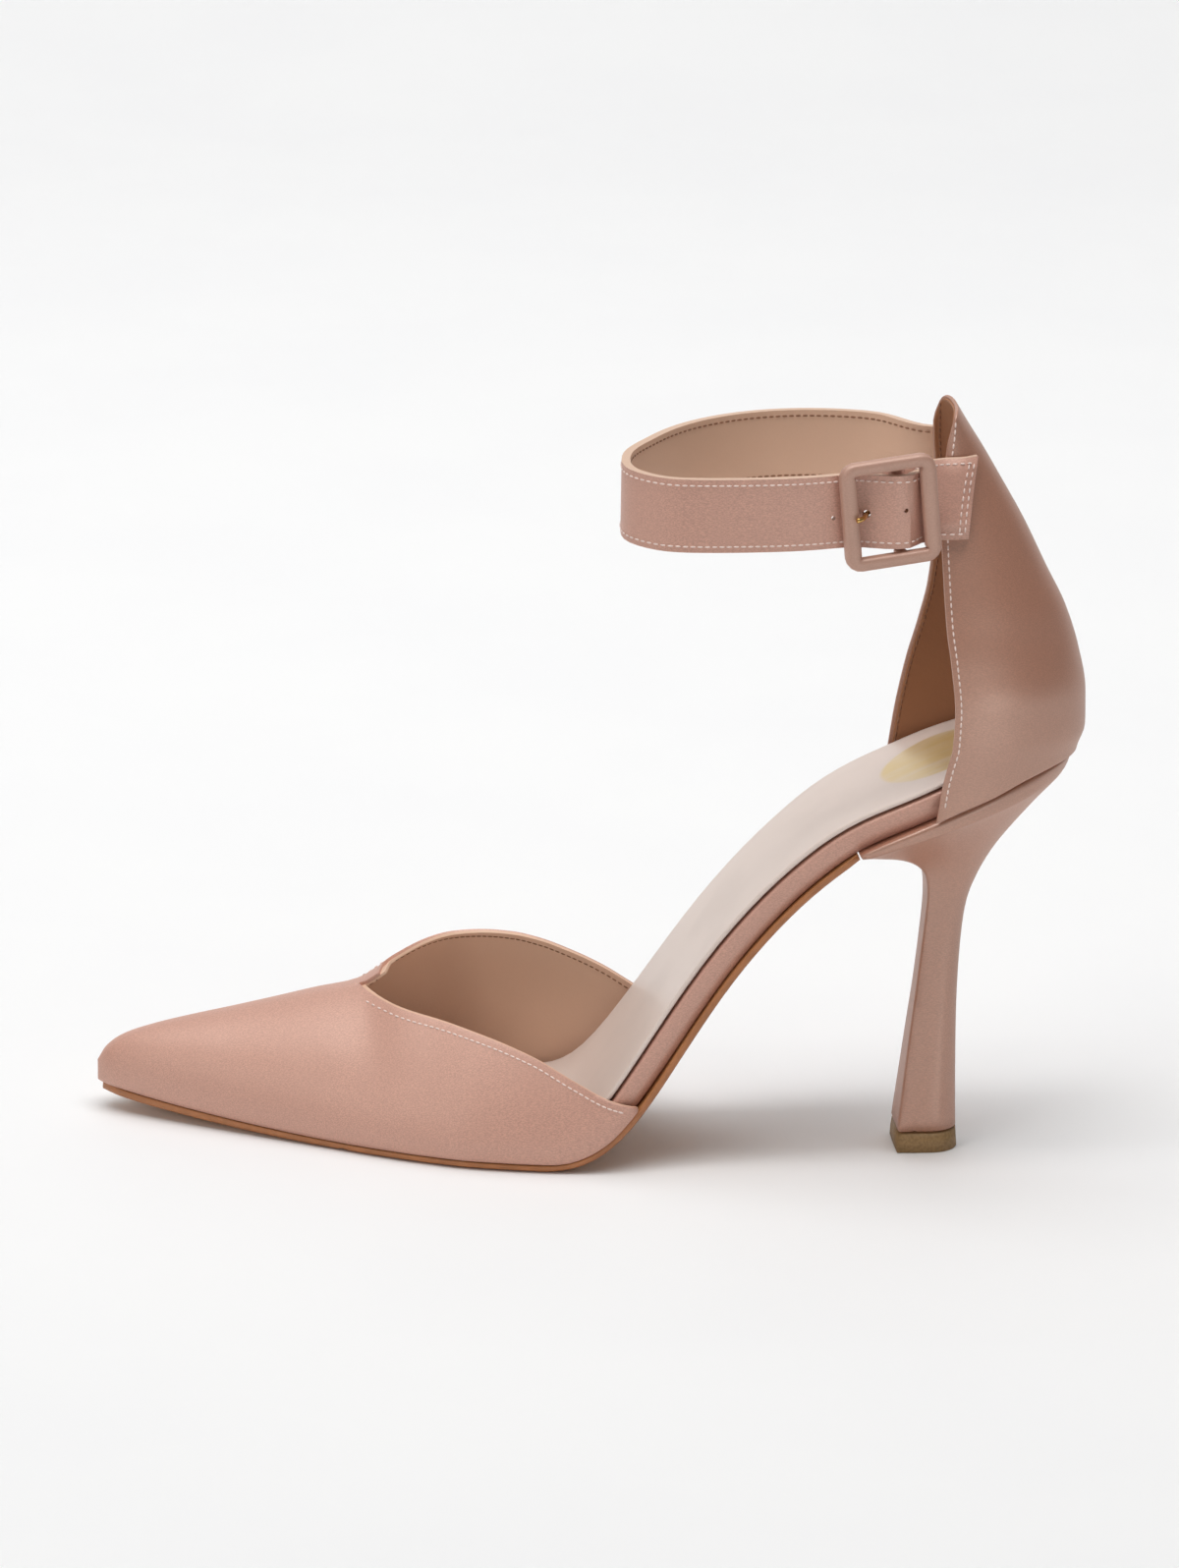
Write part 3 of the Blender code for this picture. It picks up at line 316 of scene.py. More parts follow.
def rise_at_height(x, side, height, thin):
    low, high = 0.0, 1.0
    for _ in range(18):
        mid = (low + high) / 2
        if wall_point(x, side, mid, thin).z < height:
            low = mid
        else:
            high = mid
    return (low + high) / 2


def topline_curve(side):
    end = LATERAL_END if side > 0 else MEDIAL_END
    start = FEATHER(end) + END_LIP
    rows = LATERAL_TOPLINE
    crest = THROAT_HEIGHT
    if side < 0:
        crest = MEDIAL_CREST
        rows = MEDIAL_TOPLINE + ((1.0, (THROAT_HEIGHT - start) / (crest - start)),)
    climb = smooth_curve(column(rows, 0), column(rows, 1))
    return lambda x: lerp(start, crest, climb((x - end) / (NOTCH - end)))


TOPLINE = {1: topline_curve(1), -1: topline_curve(-1)}


def counter_share(height):
    if height > SEAT_RISE:
        return (height - SEAT_RISE) / (TAB_TOP - SEAT_RISE)
    return (height - SEAT_RISE) / SEAT_RISE


def counter_point(turn, height, thin):
    """Point of the back quarter; turn runs from -1 at the inner front edge to 1 at the outer."""
    share = counter_share(height)
    back = -COUNTER_BULGE * COUNTER_BACK(share) + thin
    edge = COUNTER_LATERAL if turn > 0 else COUNTER_MEDIAL
    front = lerp(edge(share), (COUNTER_LATERAL(share) + COUNTER_MEDIAL(share)) / 2, 1 - abs(turn))
    front *= SEAT_REACH
    half = COUNTER_HALF(share) - thin
    angle = abs(turn) * math.pi / 2
    power = 2 / COUNTER_ROUNDNESS
    x = back + (front - back) * (1 - max(0.0, math.cos(angle)) ** power)
    y = math.copysign(half * math.sin(angle) ** power, turn)
    return Vector((x, y, height))


@functools.lru_cache(None)
def counter_foot(turn, thin):
    height = SEAT_RISE
    for _ in range(8):
        height = FEATHER(counter_point(turn, height, thin).x)
    return height


def counter_top(turn):
    return TAB_TOP - TAB_ROUND * (1 - math.sqrt(1 - 0.998 * abs(turn) ** 3.6))


def strap_height(y):
    return STRAP_HEIGHT - STRAP_TILT * y / STRAP_LATERAL


def buckle_place(along, out, up):
    """A point in the buckle's own directions: back along the strap, outwards, up."""
    spin = Matrix.Rotation(BUCKLE_TURN, 3, "Z") @ Matrix.Rotation(BUCKLE_LEAN, 3, "Y")
    centre = Vector((BUCKLE_X, BUCKLE_Y, strap_height(BUCKLE_Y)))
    return centre + spin @ Vector((-along, out, up))


def strap_route(up):
    """Line of the strap from the inner side of the quarter to its end under the rear bar."""
    width = up * STRAP_WIDTH / 2
    height = strap_height(-TAB_HALF) + width
    over = -1.6 * FIT - STRAP_THICK / 2
    front = counter_point(-1, height, over).x
    route = [counter_at(front - STRAP_LAP * share, height, over, -1) for share in (1.0, 0.5, 0.0)]
    for x_share, y_share in STRAP_PLAN:
        y = y_share * (STRAP_LATERAL if y_share > 0 else STRAP_MEDIAL)
        route.append(Vector((x_share * STRAP_REACH, y, strap_height(y) + width)))
    under = -(BUCKLE_DEPTH + STRAP_THICK) / 2 - 2.2 * FIT
    over = LOOP_OUTER - BAR_SET_IN + FIT + STRAP_THICK / 2
    side_bar = (BUCKLE_WIDTH - BUCKLE_BAR) / 2
    turned = Matrix.Rotation(BUCKLE_TURN, 3, "Z")
    for along, out in STRAP_WEAVE:
        spot = turned @ Vector((-along * side_bar, over if out > 0 else under, 0.0))
        y = BUCKLE_Y + spot.y
        route.append(Vector((BUCKLE_X + spot.x, y, strap_height(y) + width)))
    return route


def counter_at(x, height, thin, side):
    """The point of one side of the back quarter at this x; side is 1 outside and -1 inside."""
    low, high = 0.0, 1.0
    for _ in range(24):
        mid = (low + high) / 2
        if counter_point(side * mid, height, thin).x < x:
            low = mid
        else:
            high = mid
    return counter_point(side * low, height, thin)


def tab_route(up):
    """Line of the short strap from the back quarter's outer face towards the centre bar."""
    width = up * LOOP_WIDTH / 2
    height = strap_height(TAB_HALF) + width
    over = -1.6 * FIT - LOOP_THICK / 2
    front = counter_point(1, height, over).x
    lap = TAB_LAP + up * TAB_SLANT
    route = [counter_at(front - lap * share, height, over, 1) for share in (1.0, 0.5, 0.0)]
    turn_radius = (LOOP_INNER + LOOP_OUTER) / 2
    for along in (5.5, 2.5):
        route.append(buckle_place(BAR_SET_BACK + along * BAR_RADIUS, -BAR_SET_IN - turn_radius, width))
    return route


def route_curve(route):
    """A smooth line through a route: gives the point and its heading at a share of the way."""
    lengths = [0.0]
    for near, far in zip(route, route[1:]):
        lengths.append(lengths[-1] + (far - near).length)
    curves = [natural_curve(lengths, [point[k] for point in route]) for k in range(3)]
    total = lengths[-1]

    def at(share):
        return Vector([curve(share * total) for curve in curves])

    return at, total


# Paint: shader maths as plain expressions

class Signal:
    """A value that changes over a surface; arithmetic on it adds Math nodes."""

    def __init__(self, paint, socket):
        self.paint = paint
        self.socket = socket

    def maths(self, operation, *values):
        inputs = dict(enumerate(values))
        return self.paint.add("ShaderNodeMath", {"operation": operation}, inputs)

    def __add__(self, other):
        return self.maths("ADD", self, other)

    def __sub__(self, other):
        return self.maths("SUBTRACT", self, other)

    def __rsub__(self, other):
        return self.maths("SUBTRACT", other, self)

    def __mul__(self, other):
        return self.maths("MULTIPLY", self, other)

    def __truediv__(self, other):
        return self.maths("DIVIDE", self, other)

    def __pow__(self, other):
        return self.maths("POWER", self, other)

    __radd__ = __add__
    __rmul__ = __mul__

    def between(self, low, high):
        """0 below low, 1 above high and a soft step in between."""
        settings = {"interpolation_type": "SMOOTHSTEP"}
        inputs = {"Value": self, "From Min": low, "From Max": high}
        return self.paint.add("ShaderNodeMapRange", settings, inputs)


class Paint:
    """One material: its nodes, and the shader that they feed."""

    def __init__(self, name, **fixed):
        self.material = bpy.data.materials.new(name)
        self.material.use_nodes = True
        self.tree = self.material.node_tree
        self.shader = self.tree.nodes["Principled BSDF"]
        for socket, value in fixed.items():
            self.shader.inputs[socket.replace("_", " ")].default_value = value
        self.place = self.add("ShaderNodeTexCoord", {}, {}, "Object")

    def add(self, kind, settings, inputs, output=0):
        node = self.tree.nodes.new(kind)
        for key, value in settings.items():
            setattr(node, key, value)
        for key, value in inputs.items():
            self.feed(node.inputs[key], value)
        return Signal(self, node.outputs[output])

    def feed(self, socket, value):
        if isinstance(value, Signal):
            self.tree.links.new(value.socket, socket)
        elif hasattr(value, "__len__") and len(value) == 3 and socket.type == "RGBA":
            socket.default_value = (*value, 1.0)
        else:
            socket.default_value = value

    def stretched(self, scale, turn=(0.0, 0.0, 0.0)):
        """Object coordinates, scaled and turned for a pattern."""
        return self.add("ShaderNodeMapping", {}, {"Vector": self.place, "Scale": scale, "Rotation": turn})

    def noise(self, scale, detail=2.0, place=None):
        inputs = {"Vector": place or self.place, "Scale": scale, "Detail": detail}
        return self.add("ShaderNodeTexNoise", {}, inputs)

    def cells(self, scale, place=None):
        return self.add("ShaderNodeTexVoronoi", {}, {"Vector": place or self.place, "Scale": scale})

    def mix(self, share, under, over):
        """Colour that goes from under to over as share goes from 0 to 1."""
        inputs = {0: share, 6: under, 7: over}
        return self.add("ShaderNodeMix", {"data_type": "RGBA", "clamp_factor": True}, inputs, 2)

    def axis(self, index):
        return self.add("ShaderNodeSeparateXYZ", {}, {0: self.place}, index)

    def finish(self, colour, roughness, bump=None, strength=0.2, distance=0.0001, **others):
        self.feed(self.shader.inputs["Base Color"], colour)
        self.feed(self.shader.inputs["Roughness"], roughness)
        for socket, value in others.items():
            self.feed(self.shader.inputs[socket.replace("_", " ")], value)
        if bump is not None:
            inputs = {"Height": bump, "Strength": strength, "Distance": distance}
            self.feed(self.shader.inputs["Normal"], self.add("ShaderNodeBump", {}, inputs))
        return self.material


def screen(red, green, blue):
    """Linear colour from the values that a screen shows."""
    return tuple(((c / 255 + 0.055) / 1.055) ** 2.4 for c in (red, green, blue))


def shade(colour, factor):
    return tuple(c * factor for c in colour)


def satin_paint(name, colour, turn=(0.0, 0.0, 0.0), gloss=0.43, fleck_depth=1.0, index=1.75):
    """Heavy satin: short floats along one direction, fine sparkle and a broad soft gloss."""
    paint = Paint(name, Sheen_Weight=0.06, Sheen_Roughness=0.3, Specular_IOR_Level=0.95)
    paint.shader.inputs["Specular Tint"].default_value = (1.0, 0.84, 0.75, 1.0)
    paint.shader.inputs["IOR"].default_value = index
    floats = paint.noise(1.0, 1.0, paint.stretched((1500, 5200, 4600), turn))
    grain = paint.noise(5200, 1.0)
    patches = paint.noise(55, 2.0)
    fleck = (floats * 0.6 + grain * 0.4).between(0.34, 0.68)
    tone = paint.mix(fleck, shade(colour, 1 - 0.17 * fleck_depth), shade(colour, 1 + 0.17 * fleck_depth))
    tone = paint.mix(patches.between(0.35, 0.65) * 0.25, tone, shade(colour, 0.93))
    roughness = gloss + 0.10 * (1 - fleck) + 0.04 * patches
    return paint.finish(tone, roughness, floats * 0.7 + grain * 0.4, 0.2 * fleck_depth, 0.0001)


def leather_paint(name, colour, gloss, grain_scale, strength, coat=0.0):
    """Lining or sock leather with a fine pore pattern."""
    paint = Paint(name, Coat_Weight=coat, Coat_Roughness=0.35, Specular_IOR_Level=0.45)
    pores = paint.cells(grain_scale)
    cloud = paint.noise(60, 3.0)
    fine = paint.noise(2600, 2.0)
    worn = cloud.between(0.38, 0.66)
    tone = paint.mix(worn * 0.5, colour, shade(colour, 0.88))
    tone = paint.mix(pores.between(0.0, 0.5) * 0.12, shade(colour, 0.86), tone)
    return paint.finish(tone, gloss + 0.1 * cloud, pores * 0.6 + fine * 0.4, strength, 0.00015)


SATIN = screen(197, 147, 129)
# The vamp's satin darkened for the upright counter and heel: painted shade
SATIN_PAINTED_SHADE = screen(166, 112, 88)
SATIN_LIGHT = screen(181, 138, 120)
LINING = screen(238, 198, 170)
# The lining leather darkened for the inside of the heel cup: painted shade
LINING_PAINTED_SHADE = screen(166, 112, 76)
SOCK = screen(223, 206, 196)
EDGE_TAN = screen(178, 112, 62)
SOLE_TAN = screen(186, 134, 84)
LIFT_TAN = screen(150, 118, 76)
GOLD = screen(214, 172, 104)
THREAD_PALE = screen(244, 222, 212)
THREAD_DARK = screen(140, 95, 65)

# Gold disc on the sock, in the shoe's own place
DISC_X = -0.0010
DISC_Y = 0.0
DISC_RADIUS = 0.0140


def sock_paint():
    """Pale sock leather, with the plain gold disc at the seat."""
    paint = Paint("sock_leather", Coat_Weight=0.12, Coat_Roughness=0.3, Specular_IOR_Level=0.5)
    x = paint.axis(0)
    y = paint.axis(1)
    pores = paint.cells(1900)
    cloud = paint.noise(45, 3.0)
    tone = paint.mix(cloud.between(0.4, 0.65) * 0.45, SOCK, shade(SOCK, 0.9))
    far = ((x - DISC_X) * (x - DISC_X) * 1.1 + (y - DISC_Y) * (y - DISC_Y)) ** 0.5
    disc = 1 - far.between(DISC_RADIUS - 0.0007, DISC_RADIUS + 0.0007)
    foil = paint.noise(1.0, 2.0, paint.stretched((60, 240, 60))).between(0.3, 0.65)
    gilt = disc * (0.5 + 0.35 * foil)
    tone = paint.mix(gilt, tone, screen(220, 190, 118))
    roughness = 0.34 + 0.1 * cloud - 0.08 * disc
    return paint.finish(tone, roughness, pores * 0.5 - disc * 0.4, 0.12, 0.0001, Metallic=gilt * 0.4)


def metal_paint():
    paint = Paint("prong_metal", Metallic=1.0)
    rub = paint.noise(900, 3.0)
    tone = paint.mix(rub.between(0.4, 0.7), GOLD, shade(GOLD, 0.8))
    return paint.finish(tone, 0.2 + 0.12 * rub, rub, 0.05, 0.00005)


def sole_paint():
    """Tanned sole leather, with a redder dressed edge."""
    paint = Paint("sole_leather", Coat_Weight=0.15, Coat_Roughness=0.3)
    fibre = paint.noise(1.0, 3.0, paint.stretched((420, 1500, 1500)))
    cloud = paint.noise(55, 3.0)
    tone = paint.mix(fibre.between(0.35, 0.65) * 0.5, SOLE_TAN, EDGE_TAN)
    tone = paint.mix(cloud.between(0.45, 0.7) * 0.4, tone, shade(EDGE_TAN, 0.8))
    return paint.finish(tone, 0.42 + 0.15 * cloud, fibre, 0.15, 0.0001)


def edge_paint():
    paint = Paint("sole_edge", Coat_Weight=0.3, Coat_Roughness=0.25)
    cloud = paint.noise(220, 3.0)
    tone = paint.mix(cloud.between(0.35, 0.65) * 0.6, EDGE_TAN, shade(EDGE_TAN, 0.75))
    return paint.finish(tone, 0.35 + 0.15 * cloud, cloud, 0.1, 0.0001)


def lift_paint():
    paint = Paint("lift_rubber")
    speck = paint.noise(1400, 3.0)
    tone = paint.mix(speck.between(0.4, 0.62), LIFT_TAN, shade(LIFT_TAN, 0.78))
    return paint.finish(tone, 0.5 + 0.15 * speck, speck, 0.15, 0.0001)


def thread_paint(name, colour):
    paint = Paint(name, Sheen_Weight=0.2)
    twist = paint.add("ShaderNodeTexWave", {"bands_direction": "DIAGONAL"},
                      {"Vector": paint.place, "Scale": 900.0})
    tone = paint.mix(twist * 0.5, colour, shade(colour, 0.78))
    return paint.finish(tone, 0.55 + 0.1 * twist, twist, 0.3, 0.00005)


# Making pieces

def add_piece(name, bm, finishes, slot, replaced=(), sharp=None):
    """A shown piece that rides with the shoe."""
    mesh = bpy.data.meshes.new(name)
    bm.to_mesh(mesh)
    bm.free()
    for finish in finishes:
        mesh.materials.append(finish)
    mesh.shade_smooth()
    if sharp is not None:
        mesh.set_sharp_from_angle(angle=math.radians(sharp))
    piece = bpy.data.objects.new(name, mesh)
    bpy.context.scene.collection.objects.link(piece)
    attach(piece, "root")
    if replaced:
        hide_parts(*replaced)
    return piece


def add_grid(bm, across, along, place):
    """A grid of quads whose points go where place says for two shares from 0 to 1."""
    made = bmesh.ops.create_grid(bm, x_segments=across, y_segments=along, size=0.5)
    for vert in made["verts"]:
        vert.co = place(vert.co.x + 0.5, vert.co.y + 0.5)
    return made["verts"]


def face_outwards(bm, inside):
    """Turns an open sheet so that its faces look away from a point inside the shoe."""
    bmesh.ops.recalc_face_normals(bm, faces=bm.faces)
    lean = 0.0
    for face in bm.faces:
        centre = face.calc_center_median()
        lean += face.normal.dot(centre - inside(centre)) * face.calc_area()
    if lean < 0:
        bmesh.ops.reverse_faces(bm, faces=bm.faces)


def thicken(bm, thick, rounding, on_rim):
    """Gives a sheet its thickness inwards and rounds the free edges that on_rim accepts."""
    outer = list(bm.faces)
    bmesh.ops.solidify(bm, geom=outer, thickness=thick)
    if rounding:
        bm.normal_update()
        rim = [edge for edge in bm.edges if len(edge.link_faces) == 2
               and edge.calc_face_angle(0.0) > math.radians(55) and on_rim(edge)]
        bmesh.ops.bevel(bm, geom=rim, affect="EDGES", offset=rounding, offset_type="OFFSET",
                        segments=3, profile=0.5, material=-1, clamp_overlap=True)


def dress(node, name, finishes, slot, levels=1, crease=35.0, hard=0.75, choose=None):
    """A finer copy of a solid whose form stays: joined to quads, creased and subdivided."""
    bm = bmesh.new()
    bm.from_mesh(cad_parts[node].data)
    bmesh.ops.remove_doubles(bm, verts=bm.verts, dist=2e-6)
    bmesh.ops.join_triangles(bm, faces=bm.faces, angle_face_threshold=math.radians(25),
                             angle_shape_threshold=math.radians(120))
    for face in bm.faces:
        face.material_index = choose(face) if choose else 0
    layer = bm.edges.layers.float.new("crease_edge")
    for edge in bm.edges:
        if len(edge.link_faces) == 2 and edge.calc_face_angle(0.0) > math.radians(crease):
            edge[layer] = hard
    piece = add_piece(name, bm, finishes, slot, (node,), None if levels else 40.0)
    if levels:
        fine = piece.modifiers.new("fine", "SUBSURF")
        fine.levels = levels
        fine.render_levels = levels
    return piece


def sew(name, seam, length, finish, pitch=0.00165, stitch=0.00128, width=0.00046, high=0.00036):
    """A row of stitches along a seam that gives the point and the outward normal at a share."""
    count = max(2, int(length / pitch))
    bm = bmesh.new()
    for i in range(count):
        share = (i + 0.5) / count
        spot, normal = seam(share)
        ahead = seam(min(1.0, share + 0.3 / count))[0] - seam(max(0.0, share - 0.3 / count))[0]
        along = ahead.normalized()
        across = normal.cross(along).normalized()
        normal = along.cross(across)
        turn = Matrix((across, normal, along)).transposed().to_4x4()
        size = Matrix.Diagonal((width / 2, high / 2, stitch / 2, 1.0))
        place = Matrix.Translation(spot + normal * high * 0.18) @ turn @ size
        bmesh.ops.create_uvsphere(bm, u_segments=6, v_segments=5, radius=1.0, matrix=place)
    return add_piece(name, bm, [finish], "thread")


# Vamp

RIM_ROUNDING = 0.00028
CREASES_VAMP = (
    (0.1180, 1, 0.0150, 0.0120, 0.0040, -0.00016),
    (0.1050, 1, 0.0100, 0.0100, 0.0034, 0.00012),
    (0.1430, 1, 0.0170, 0.0120, 0.0045, -0.00012),
)


def vamp_creases(point, side):
    """How far the satin stands out at a point: soft troughs and ridges."""
    stand = 0.0
    for x, on, z, long_way, short_way, depth in CREASES_VAMP:
        if on == side:
            u = (point.x - x) * 0.9 + (point.z - z) * 0.45
            w = (point.z - z) * 0.9 - (point.x - x) * 0.45
            stand += depth * math.exp(-((u / long_way) ** 2) - (w / short_way) ** 2)
    return stand


OPEN_SHARE = 0.5


def vamp_place(side, thin, creased=False):
    end = LATERAL_END if side > 0 else MEDIAL_END

    @functools.lru_cache(None)
    def station(a):
        """Place, share of the ridge and closing of one column."""
        if a <= OPEN_SHARE + 1e-6:
            x = lerp(end, NOTCH, min(1.0, a / OPEN_SHARE))
            last = rise_at_height(x, side, TOPLINE[side](x), thin)
            closing = 1.0
        else:
            share = (a - OPEN_SHARE) / (1 - OPEN_SHARE)
            x = lerp(NOTCH, TOE_REACH - thin, math.sin(share * math.pi / 2) ** 0.95)
            last = 1.0
            near_tip = max(0.0, (x - TOE_REACH + TOE_RADIUS + thin) / TOE_RADIUS)
            closing = math.sqrt(max(0.0, 1 - min(1.0, near_tip) ** 2))
        return x, last, closing

    def place(a, b):
        x, last, closing = station(a)
        point = wall_point(x, side, b * last, thin, closing)
        if creased:
            point.y += side * vamp_creases(point, side)
        return point

    return place


def make_vamp(satin, lining):
    inside = lambda p: Vector((p.x, middle(p.x), 0.0))
    for name, finish, slot, thin, thick in (
        ("vamp_satin", satin, "satin", 0.0, 0.00085),
        ("vamp_lining", lining, "lining", 0.0009, 0.0007),
    ):
        bm = bmesh.new()
        for side in (1, -1):
            add_grid(bm, 96, 34, vamp_place(side, thin, thin == 0.0))
        bmesh.ops.remove_doubles(bm, verts=bm.verts, dist=2e-5)
        bmesh.ops.dissolve_degenerate(bm, edges=bm.edges, dist=1e-5)
        face_outwards(bm, inside)
        thicken(bm, thick, RIM_ROUNDING,
                lambda edge: edge.verts[0].co.z > 0.02 and edge.verts[0].co.x < NOTCH + 0.0005)
        add_piece(name, bm, [finish], slot, ("vamp",) if thin == 0.0 else ())


# Back quarter

CREASES_COUNTER = (
    (0.62, 0.118, 0.30, 0.0055, 0.00030),
    (0.50, 0.128, 0.26, 0.0050, -0.00028),
    (0.66, 0.139, 0.22, 0.0060, 0.00022),
    (0.30, 0.108, 0.25, 0.0050, 0.00018),
    (-0.55, 0.122, 0.30, 0.0060, 0.00022),
    (-0.45, 0.134, 0.28, 0.0060, -0.00020),
)


def counter_place(thin, creased=False, set_in=0.0):
    def place(a, b):
        turn = (2 * a - 1) * (1 - set_in)
        low = counter_foot(turn, thin)
        high = counter_top(turn) - (0.0006 if set_in else 0.0)
        height = lerp(low, high, b)
        bulge = 0.0
        if creased:
            for at, rise, wide, tall, depth in CREASES_COUNTER:
                bulge += depth * math.exp(-(((turn - at) / wide) ** 2) - ((height - rise) / tall) ** 2)
            bulge *= ease((1 - abs(turn)) / 0.12) * ease((height - low) / 0.006)
        return counter_point(turn, height, thin - bulge)

    return place


def make_counter(satin, lining):
    inside = lambda p: Vector((0.0, 0.0, p.z))
    for name, finish, slot, thin, thick, set_in in (
        ("counter_satin", satin, "satin", 0.0, 0.00085, 0.0),
        ("counter_lining", lining, "lining", 0.0009, 0.0007, 0.008),
    ):
        bm = bmesh.new()
        add_grid(bm, 90, 70, counter_place(thin, thin == 0.0, set_in))
        face_outwards(bm, inside)
        thicken(bm, thick, RIM_ROUNDING, lambda edge: edge.verts[0].co.z > 0.088)
        add_piece(name, bm, [finish], slot, ("counter",) if thin == 0.0 else ())


# Strap, tab and buckle

def strap_choice(face):
    """0 for the satin outside, 1 for the lining inside and 2 for the cut edges."""
    centre = face.calc_center_median()
    if abs(face.normal.z) > 0.7:
        return 2
    outward = Vector((centre.x - 0.030, centre.y, 0.0))
    return 0 if face.normal.dot(outward) > 0 else 1


def tab_choice(face):
    if abs(face.normal.z) > 0.7:
        return 1
    return 0


def superellipse(angle, power):
    c, s = math.cos(angle), math.sin(angle)
    return math.copysign(abs(c) ** (2 / power), c), math.copysign(abs(s) ** (2 / power), s)


def corner_path(half_width, half_height, radius, share):
    """A point on a rectangle with round corners, as (along, up), with its way out."""
    straight_x = 2 * (half_width - radius)
    straight_z = 2 * (half_height - radius)
    bend = radius * math.pi / 2
    at = share * (2 * straight_x + 2 * straight_z + 4 * bend)
    x, z = half_width, -half_height + radius
    direction = math.pi / 2
    for straight in (straight_z, straight_x, straight_z, straight_x):
        step = min(at, straight)
        x += step * math.cos(direction)
        z += step * math.sin(direction)
        at -= step
        if at <= 0:
            break
        step = min(at, bend)
        angle = step / radius
        cx = x - radius * math.sin(direction)
        cz = z + radius * math.cos(direction)
        x = cx + radius * math.sin(direction + angle)
        z = cz - radius * math.cos(direction + angle)
        direction += angle
        at -= step
        if at <= 0:
            break
    return x, z, (math.sin(direction), -math.cos(direction))


def make_frame(satin):
    """The buckle's covered frame with its centre bar and lugs."""
    bm = bmesh.new()
    set_in = BUCKLE_BAR / 2
    half_width = BUCKLE_WIDTH / 2 - set_in
    half_height = BUCKLE_HEIGHT / 2 - set_in

    def place(a, b):
        x, z, out = corner_path(half_width, half_height, BUCKLE_CORNER - set_in * 0.75, a)
        across, deep = superellipse(2 * math.pi * b, 2.7)
        narrow = lerp(BUCKLE_BAR, BUCKLE_END_BAR, out[1] ** 2) / 2
        shift = (BUCKLE_BAR - BUCKLE_END_BAR) / 2 * out[1] ** 2
        wide = across * narrow + shift
        return buckle_place(x + out[0] * wide, deep * BUCKLE_DEPTH / 2, z + out[1] * wide)

    add_grid(bm, 120, 24, place)
    bmesh.ops.remove_doubles(bm, verts=bm.verts, dist=1e-5)
    bmesh.ops.recalc_face_normals(bm, faces=bm.faces)
    lug = BUCKLE_HEIGHT / 2 - BUCKLE_END_BAR + FIT
    spin = Matrix.Rotation(BUCKLE_TURN, 4, "Z") @ Matrix.Rotation(BUCKLE_LEAN, 4, "Y")
    bar = Matrix.Translation(buckle_place(BAR_SET_BACK, -BAR_SET_IN, 0.0)) @ spin
    bmesh.ops.create_cone(bm, cap_ends=True, segments=20, radius1=BAR_RADIUS, radius2=BAR_RADIUS,
                          depth=2 * lug + 0.002, matrix=bar)
    for sign in (1, -1):
        size = Matrix.Diagonal((2 * LUG_HALF, BAR_SET_IN, 0.0017, 1.0))
        spot = buckle_place(BAR_SET_BACK, -BAR_SET_IN / 2 - 0.0003, sign * (lug + 0.00085))
        made = bmesh.ops.create_cube(bm, size=1.0, matrix=Matrix.Translation(spot) @ spin @ size)
        edges = {edge for vert in made["verts"] for edge in vert.link_edges}
        bmesh.ops.bevel(bm, geom=list(edges), affect="EDGES", offset=0.0003, offset_type="OFFSET",
                        segments=2, profile=0.5, material=-1, clamp_overlap=True)
    add_piece("buckle_cover", bm, [satin], "satin", ("buckle_frame",), 50.0)


# Stitching

EDGE_ROW = 0.0014


def band_seam(route_of, up, offset, start, end):
    """A stitch line on a band at a height share, offset outwards from its middle."""
    at, total = route_curve(route_of(up))

    def seam(share):
        s = lerp(start, end, share)
        spot = at(s)
        ahead = at(min(1.0, s + 0.002)) - at(max(0.0, s - 0.002))
        out = Vector((ahead.y, -ahead.x, 0.0)).normalized()
        normal = out if offset > 0 else -out
        return spot + out * offset, normal

    return seam, total * (end - start)


def end_seam(route_of, width, gap, offset):
    """A stitch line up a band's first end, this far in from it and offset from its middle."""
    half = 1 - 2 * EDGE_ROW / width

    def seam(share):
        at, total = route_curve(route_of(lerp(-half, half, share)))
        s = gap / total
        ahead = at(s + 0.004) - at(max(0.0, s - 0.004))
        out = Vector((ahead.y, -ahead.x, 0.0)).normalized()
        return at(s) + out * offset, out if offset > 0 else -out

    return seam, half * width


def sew_strap(pale, dark):
    """Rows along both edges of the strap, and two across the end on the inner side."""
    outer, inner = STRAP_THICK / 2, -STRAP_THICK / 2
    rise = 1 - 2 * EDGE_ROW / STRAP_WIDTH
    for label, up in (("upper", rise), ("lower", -rise)):
        seam, length = band_seam(strap_route, up, outer, 0.008, 0.985)
        sew("strap_stitches_%s" % label, seam, length, pale)
        seam, length = band_seam(strap_route, up, inner, 0.03, 0.80)
        sew("strap_inner_stitches_%s" % label, seam, length, dark)
    for label, gap in (("first", 0.0012), ("second", 0.0034)):
        seam, length = end_seam(strap_route, STRAP_WIDTH, gap, outer)
        sew("strap_end_stitches_%s" % label, seam, length, pale)


def sew_tab(pale):
    """Rows along the short strap's edges and two up its slanting end."""
    outer = -LOOP_THICK / 2
    rise = 1 - 2 * EDGE_ROW / LOOP_WIDTH
    for label, up in (("upper", rise), ("lower", -rise)):
        seam, length = band_seam(tab_route, up, outer, 0.08, 0.86)
        sew("tab_stitches_%s" % label, seam, length, pale)
    for label, gap in (("first", 0.0011), ("second", 0.0024)):
        seam, length = end_seam(tab_route, LOOP_WIDTH, gap, outer)
        sew("tab_end_stitches_%s" % label, seam, length, pale)


